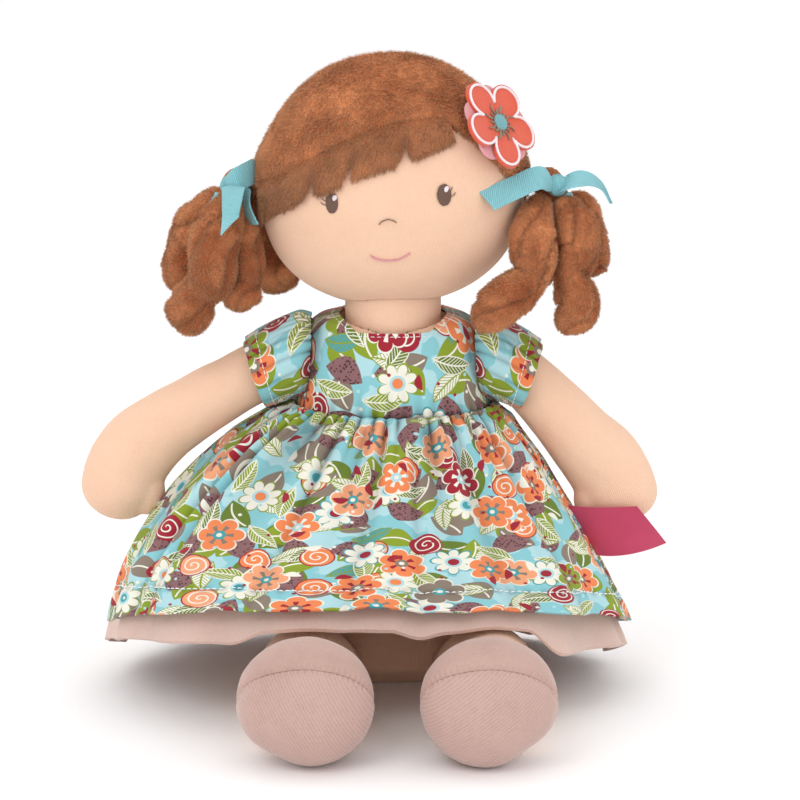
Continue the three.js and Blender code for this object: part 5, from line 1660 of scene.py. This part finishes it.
def armLine(one, shares):
    out, down = np.array(one["shares"]).T
    points = vector(one["side"] * (shoulder["width"] / 2 + seam + out * one["reach"]), -one["fore"] * down,
                    -down * one["drop"])
    return curveThrough(points, shares)


# Joins closed shapes into one skin and smooths it.
def skinned(name, shape, voxel, rounds):
    rough = newObject(name + "_rough", newMesh(name + "_rough", shape))
    remesh = rough.modifiers.new("skin", "REMESH")
    remesh.mode = "VOXEL"
    remesh.voxel_size = voxel * mm
    calm = rough.modifiers.new("calm", "SMOOTH")
    calm.factor = 0.5
    calm.iterations = rounds
    made = bpy.data.meshes.new_from_object(rough.evaluated_get(bpy.context.evaluated_depsgraph_get()))
    bpy.data.objects.remove(rough)
    return made


def makeArms():
    for name in bothSides:
        one = arm[name]
        share = evenedSteps(70, 0.6)
        line = armLine(one, share)
        profile = curveThrough([[width] for _, width in arm["widths"]], share)[:, 0] * arm["width"]
        width = blend(arm["root"], profile, smooth(share, 0, 1 / 3))
        rings = ringsRound(line, (width / 2 * roundedEnds(share, 0, 0.12))[:, None] + 0.01, 48, (0, 1, 0))
        at = armLine(one, np.array([arm["thumbShares"][0]]))[0]
        _, forward, tall, aside, front, low = arm["thumbShares"]
        rise = np.pi * (np.linspace(0, 1, 24) - 0.5)[:, None]
        way = turn * columnShares(33)
        thumb = ballArrows(rise, way) * [1, forward, tall] * arm["thumb"] / 2
        thumb = thumb + at - np.array([one["side"] * aside, front, low]) * arm["thumb"]
        mesh = skinned(f"{name}_arm", together(capped(rings), gridShape(thumb)), arm["voxel"],
                       arm["calmed"])
        points = np.empty(len(mesh.vertices) * 3)
        mesh.vertices.foreach_get("co", points)
        points = points.reshape(-1, 3) / mm
        samples = armLine(one, np.linspace(0, 1, 160))
        nearest = np.linalg.norm(points[:, None] - samples[None], axis=-1).argmin(1)
        ahead = aheadOf(samples)
        side = carriedSides(ahead, np.array([0.0, 1, 0]))[nearest]
        rib = np.sum((points - samples[nearest]) * side, -1)
        out = unit(points - samples[nearest])
        points = points + out * (unevenness(points, 30, 91)[:, None] * 0.35) + [0, 0, shoulder["height"]]
        mesh.vertices.foreach_set("co", (points * mm).ravel())
        writeMark(mesh, "rib", rib)
        piece = addPiece(f"{name}_arm_velour", smoothed(mesh), finish["skin"], f"{name}_arm", [f"{name}_arm"])


sleeve = {"root": 31, "long": 26, "flare": 4, "tall": -2.6, "puff": 1.6, "under": 8,
          "around": 110, "printFrom": 40, "stitchRow": 31,
          "drop": {"right": 9.5, "left": 10.5}}


# A flutter sleeve round the top of the arm: it puffs over the shoulder, spreads to its hem, is a little short
# below and sinks with the arm. It is gathered at the armhole into small folds that open towards the hem.
def sleevePoints(name, u, v):
    over = np.sin(turn * u)
    length = sleeve["long"] - sleeve["under"] * (1 - over) / 2
    puffed = sleeve["puff"] * (np.sin(np.pi * v ** 0.7) - 0.8 * (1 - smooth(v, 0, 0.16)))
    spread = sleeve["root"] / 2 + sleeve["flare"] * v + puffed
    tall = sleeve["root"] / 2 + sleeve["tall"] * v + puffed
    return vector(arm[name]["side"] * (shoulder["width"] / 2 + 0.1 + v * length), np.cos(turn * u) * spread,
                  over * tall - sleeve["drop"][name] * v ** 1.3 + shoulder["height"])


def makeSleeves():
    for name in bothSides:
        u = columnShares(241)
        v = rowShares(40)
        base = sleevePoints(name, u, v)
        out = outwards(base, True)
        middle = base[:, :-1].mean(1, keepdims=True)
        out = pointedAway(out, base, middle)
        top = np.clip(np.sin(turn * u), 0, 1) ** 0.7
        ridge = np.abs(np.cos(turn * 14 * u + 2 * np.sin(turn * 3 * u)))
        fold = np.abs(np.cos(turn * 5 * u + 1.2 * np.sin(turn * 2 * u)))
        atHole = np.exp(-v * 3.2)
        proud = (top * (1.5 * ridge ** 0.8 * atHole + 2.0 * fold * smooth(v, 0.1, 1)) + 0.15)[..., None]
        # Painted shade: darker print in the gathers at the armhole, in the folds towards the hem and right at
        # the armhole seam
        valley = (0.9 * (1 - ridge) ** 2 * atHole + 0.5 * (1 - fold) ** 2.5 * smooth(v, 0.1, 0.6)
                  + 0.6 * np.exp(-v * 14))
        outer = base + out * (proud + cloth["cotton"] * 0.8)
        inner = base + out * (proud * 0.9 + 0.05)
        flat = laidFlat(u * sleeve["around"] + sleeve["printFrom"], v * sleeve["long"])
        piece = addPiece(f"{name}_sleeve_cotton", clothShape(outer, inner, flat, True, valley),
                         finish["print"], f"{name}_arm", [f"{name}_sleeve"], sharp=60)
        row = sleeve["stitchRow"]
        thread = addPiece(f"{name}_sleeve_stitching", stitches(outer[row], out[row], 2.6, 0.8, 0.38, 0.28),
                          finish["seamThread"], f"{name}_arm")


makeArms()
makeSleeves()
print("arms and sleeves made")


# Legs and shoes
shoe = {"width": 54, "height": 51, "depth": 47, "forward": 91, "tilt": 42, "ridge": 0.9,
        "flat": {"right": (240, 28), "left": (312, 26)},
        "ribs": {"right": (0.88, 0.47), "left": (-0.64, 0.77)}}


# A leg: a rolled root at the hip that widens to the ankle in the shoe and is pressed flat where it rests.
def makeLegs():
    for name in bothSides:
        flat = hip["height"] - hip["cut"]
        share = np.linspace(0, 1, 60)
        rise = blend(0, leg["height"] / 2 - hip["cut"] - flat, smooth(share, 0, 0.5))
        line = vector(0, -share * leg["long"], rise)
        depth = blend(2 * flat, leg["height"], smooth(share, 0, 0.55)) / 2
        width = blend(leg["root"], leg["width"], smooth(share, 0, 0.6)) / 2
        way = turn * np.linspace(0, 1, 65)
        tube = line[:, None] + vector(width[:, None] * np.cos(way), 0, depth[:, None] * np.sin(way))
        turnIn = np.linspace(np.pi / 2, 0, 12)[:-1]
        root = vector(leg["root"] / 2 * np.cos(way), flat * np.cos(turnIn)[:, None],
                      flat * np.sin(turnIn)[:, None] * np.sin(way))
        points = np.concatenate([root, tube])
        points = points + np.array([leg[name], -hip["forward"], hip["height"]])
        points[..., 2] = np.maximum(points[..., 2], 0.05)
        shape = capped(points)
        shape["marks"]["rib"] = shape["points"][:, 0] - leg[name]
        piece = addPiece(f"{name}_leg_velour", shape, finish["skin"], f"{name}_leg", [f"{name}_leg"])


# Half of a shoe: lines spread from the middle of its panel to the seam, where both panels draw in and pucker.
# Seen from the front it is an oval with one flatter side.
def shoePanel(name, isSole, columns=300, rows=48):
    tilt = np.radians(shoe["tilt"])
    pole = np.array([0, -np.cos(tilt), -np.sin(tilt)]) * (1 if isSole else -1)
    first = np.array([1.0, 0, 0])
    second = np.cross(pole, first)
    way = turn * np.linspace(0, 1, columns + 1)
    ring = np.cos(way)[:, None] * first + np.sin(way)[:, None] * second
    share = 1 - (1 - np.linspace(0, 1, rows)) ** 1.4
    spread = share * (np.pi / 2)
    arrows = np.cos(spread)[:, None, None] * pole + np.sin(spread)[:, None, None] * ring[None]
    half = np.array([shoe["width"], shoe["depth"], shoe["height"]]) / 2
    reach = 1 / np.sqrt(np.sum((arrows / half) ** 2, -1))
    middleAngle, spreadAngle = shoe["flat"][name]
    angle = np.degrees(np.arctan2(arrows[..., 2], arrows[..., 0])) % 360
    sideways = np.hypot(arrows[..., 0], arrows[..., 2])
    reach = reach * (1 - 0.1 * np.exp(-((angle - middleAngle) / spreadAngle) ** 2) * sideways ** 2)
    toSeam = ((1 - share) * np.pi / 2 * 25)[:, None]
    drawn = shoe["ridge"] * np.exp(-toSeam / 1.5)
    pucker = 0.34 * np.exp(-((toSeam - 1.2) / 1.3) ** 2) * np.sin(way * 60)[None]
    soft = unevenness(arrows * 25, 26, 55 if isSole else 56) * 0.35
    points = arrows * (reach - drawn + pucker + soft)[..., None]
    middle = np.array([leg[name], -hip["forward"] - shoe["forward"], shoe["height"] / 2 - hip["cut"]])
    points = points + pole * seam / 2 + middle
    points[..., 2] = np.maximum(points[..., 2], 0)
    return points


def makeShoes():
    for name in bothSides:
        for part, isSole in (("sole", True), ("upper", False)):
            shape = capped(shoePanel(name, isSole))
            shape["marks"]["rib"] = shape["points"][:, [0, 2]] @ np.array(shoe["ribs"][name])
            piece = addPiece(f"{name}_shoe_{part}_velour", shape, finish["sole" if isSole else "shoe"],
                             f"{name}_leg", [f"{name}_shoe_{part}"], sharp=70)


makeLegs()
makeShoes()
print("legs and shoes made")


# Floor and light
studio = {"floor": 14.0, "world": 1.0, "aim": (0, 0, 0.12),
          "lamps": {"key": {"at": (-0.9, -1.6, 1.7), "size": 1.0, "power": 9},
                    "fill": {"at": (1.4, -1.5, 1.1), "size": 1.8, "power": 4},
                    "low": {"at": (0.0, -2.0, 0.3), "size": 1.4, "power": 3},
                    "top": {"at": (0.0, 0.5, 2.0), "size": 2.0, "power": 4}}}


def makeStudio():
    half = studio["floor"] / 2 / mm
    v, u = np.mgrid[-half:half:9j, -half:half:9j]
    material, tree, shader = newFinish("paleFloor", roughness=0.9, specular=0.1)
    cloudy = noise(placeInMm(tree), 0.004)
    feed(shader.inputs["Base Color"], mixColours(cloudy, paint(255, 255, 255), paint(253, 253, 254)))
    mesh = newMesh("floor", gridShape(vector(u, v, -0.05)))
    mesh.materials.append(material)
    floor = newObject("floor", mesh)
    world = bpy.data.worlds.new("studio")
    bpy.context.scene.world = world
    world.use_nodes = True
    background = world.node_tree.nodes["Background"].inputs
    background["Color"].default_value = (1, 1, 1, 1)
    background["Strength"].default_value = studio["world"]
    for label, lamp in studio["lamps"].items():
        data = bpy.data.lights.new(label, "AREA")
        data.size = lamp["size"]
        data.energy = lamp["power"]
        light = newObject(label, data)
        light.location = lamp["at"]
        light.rotation_euler = (Vector(studio["aim"]) - light.location).to_track_quat("-Z", "Y").to_euler()
    bpy.context.scene.view_settings.view_transform = "Standard"


makeStudio()
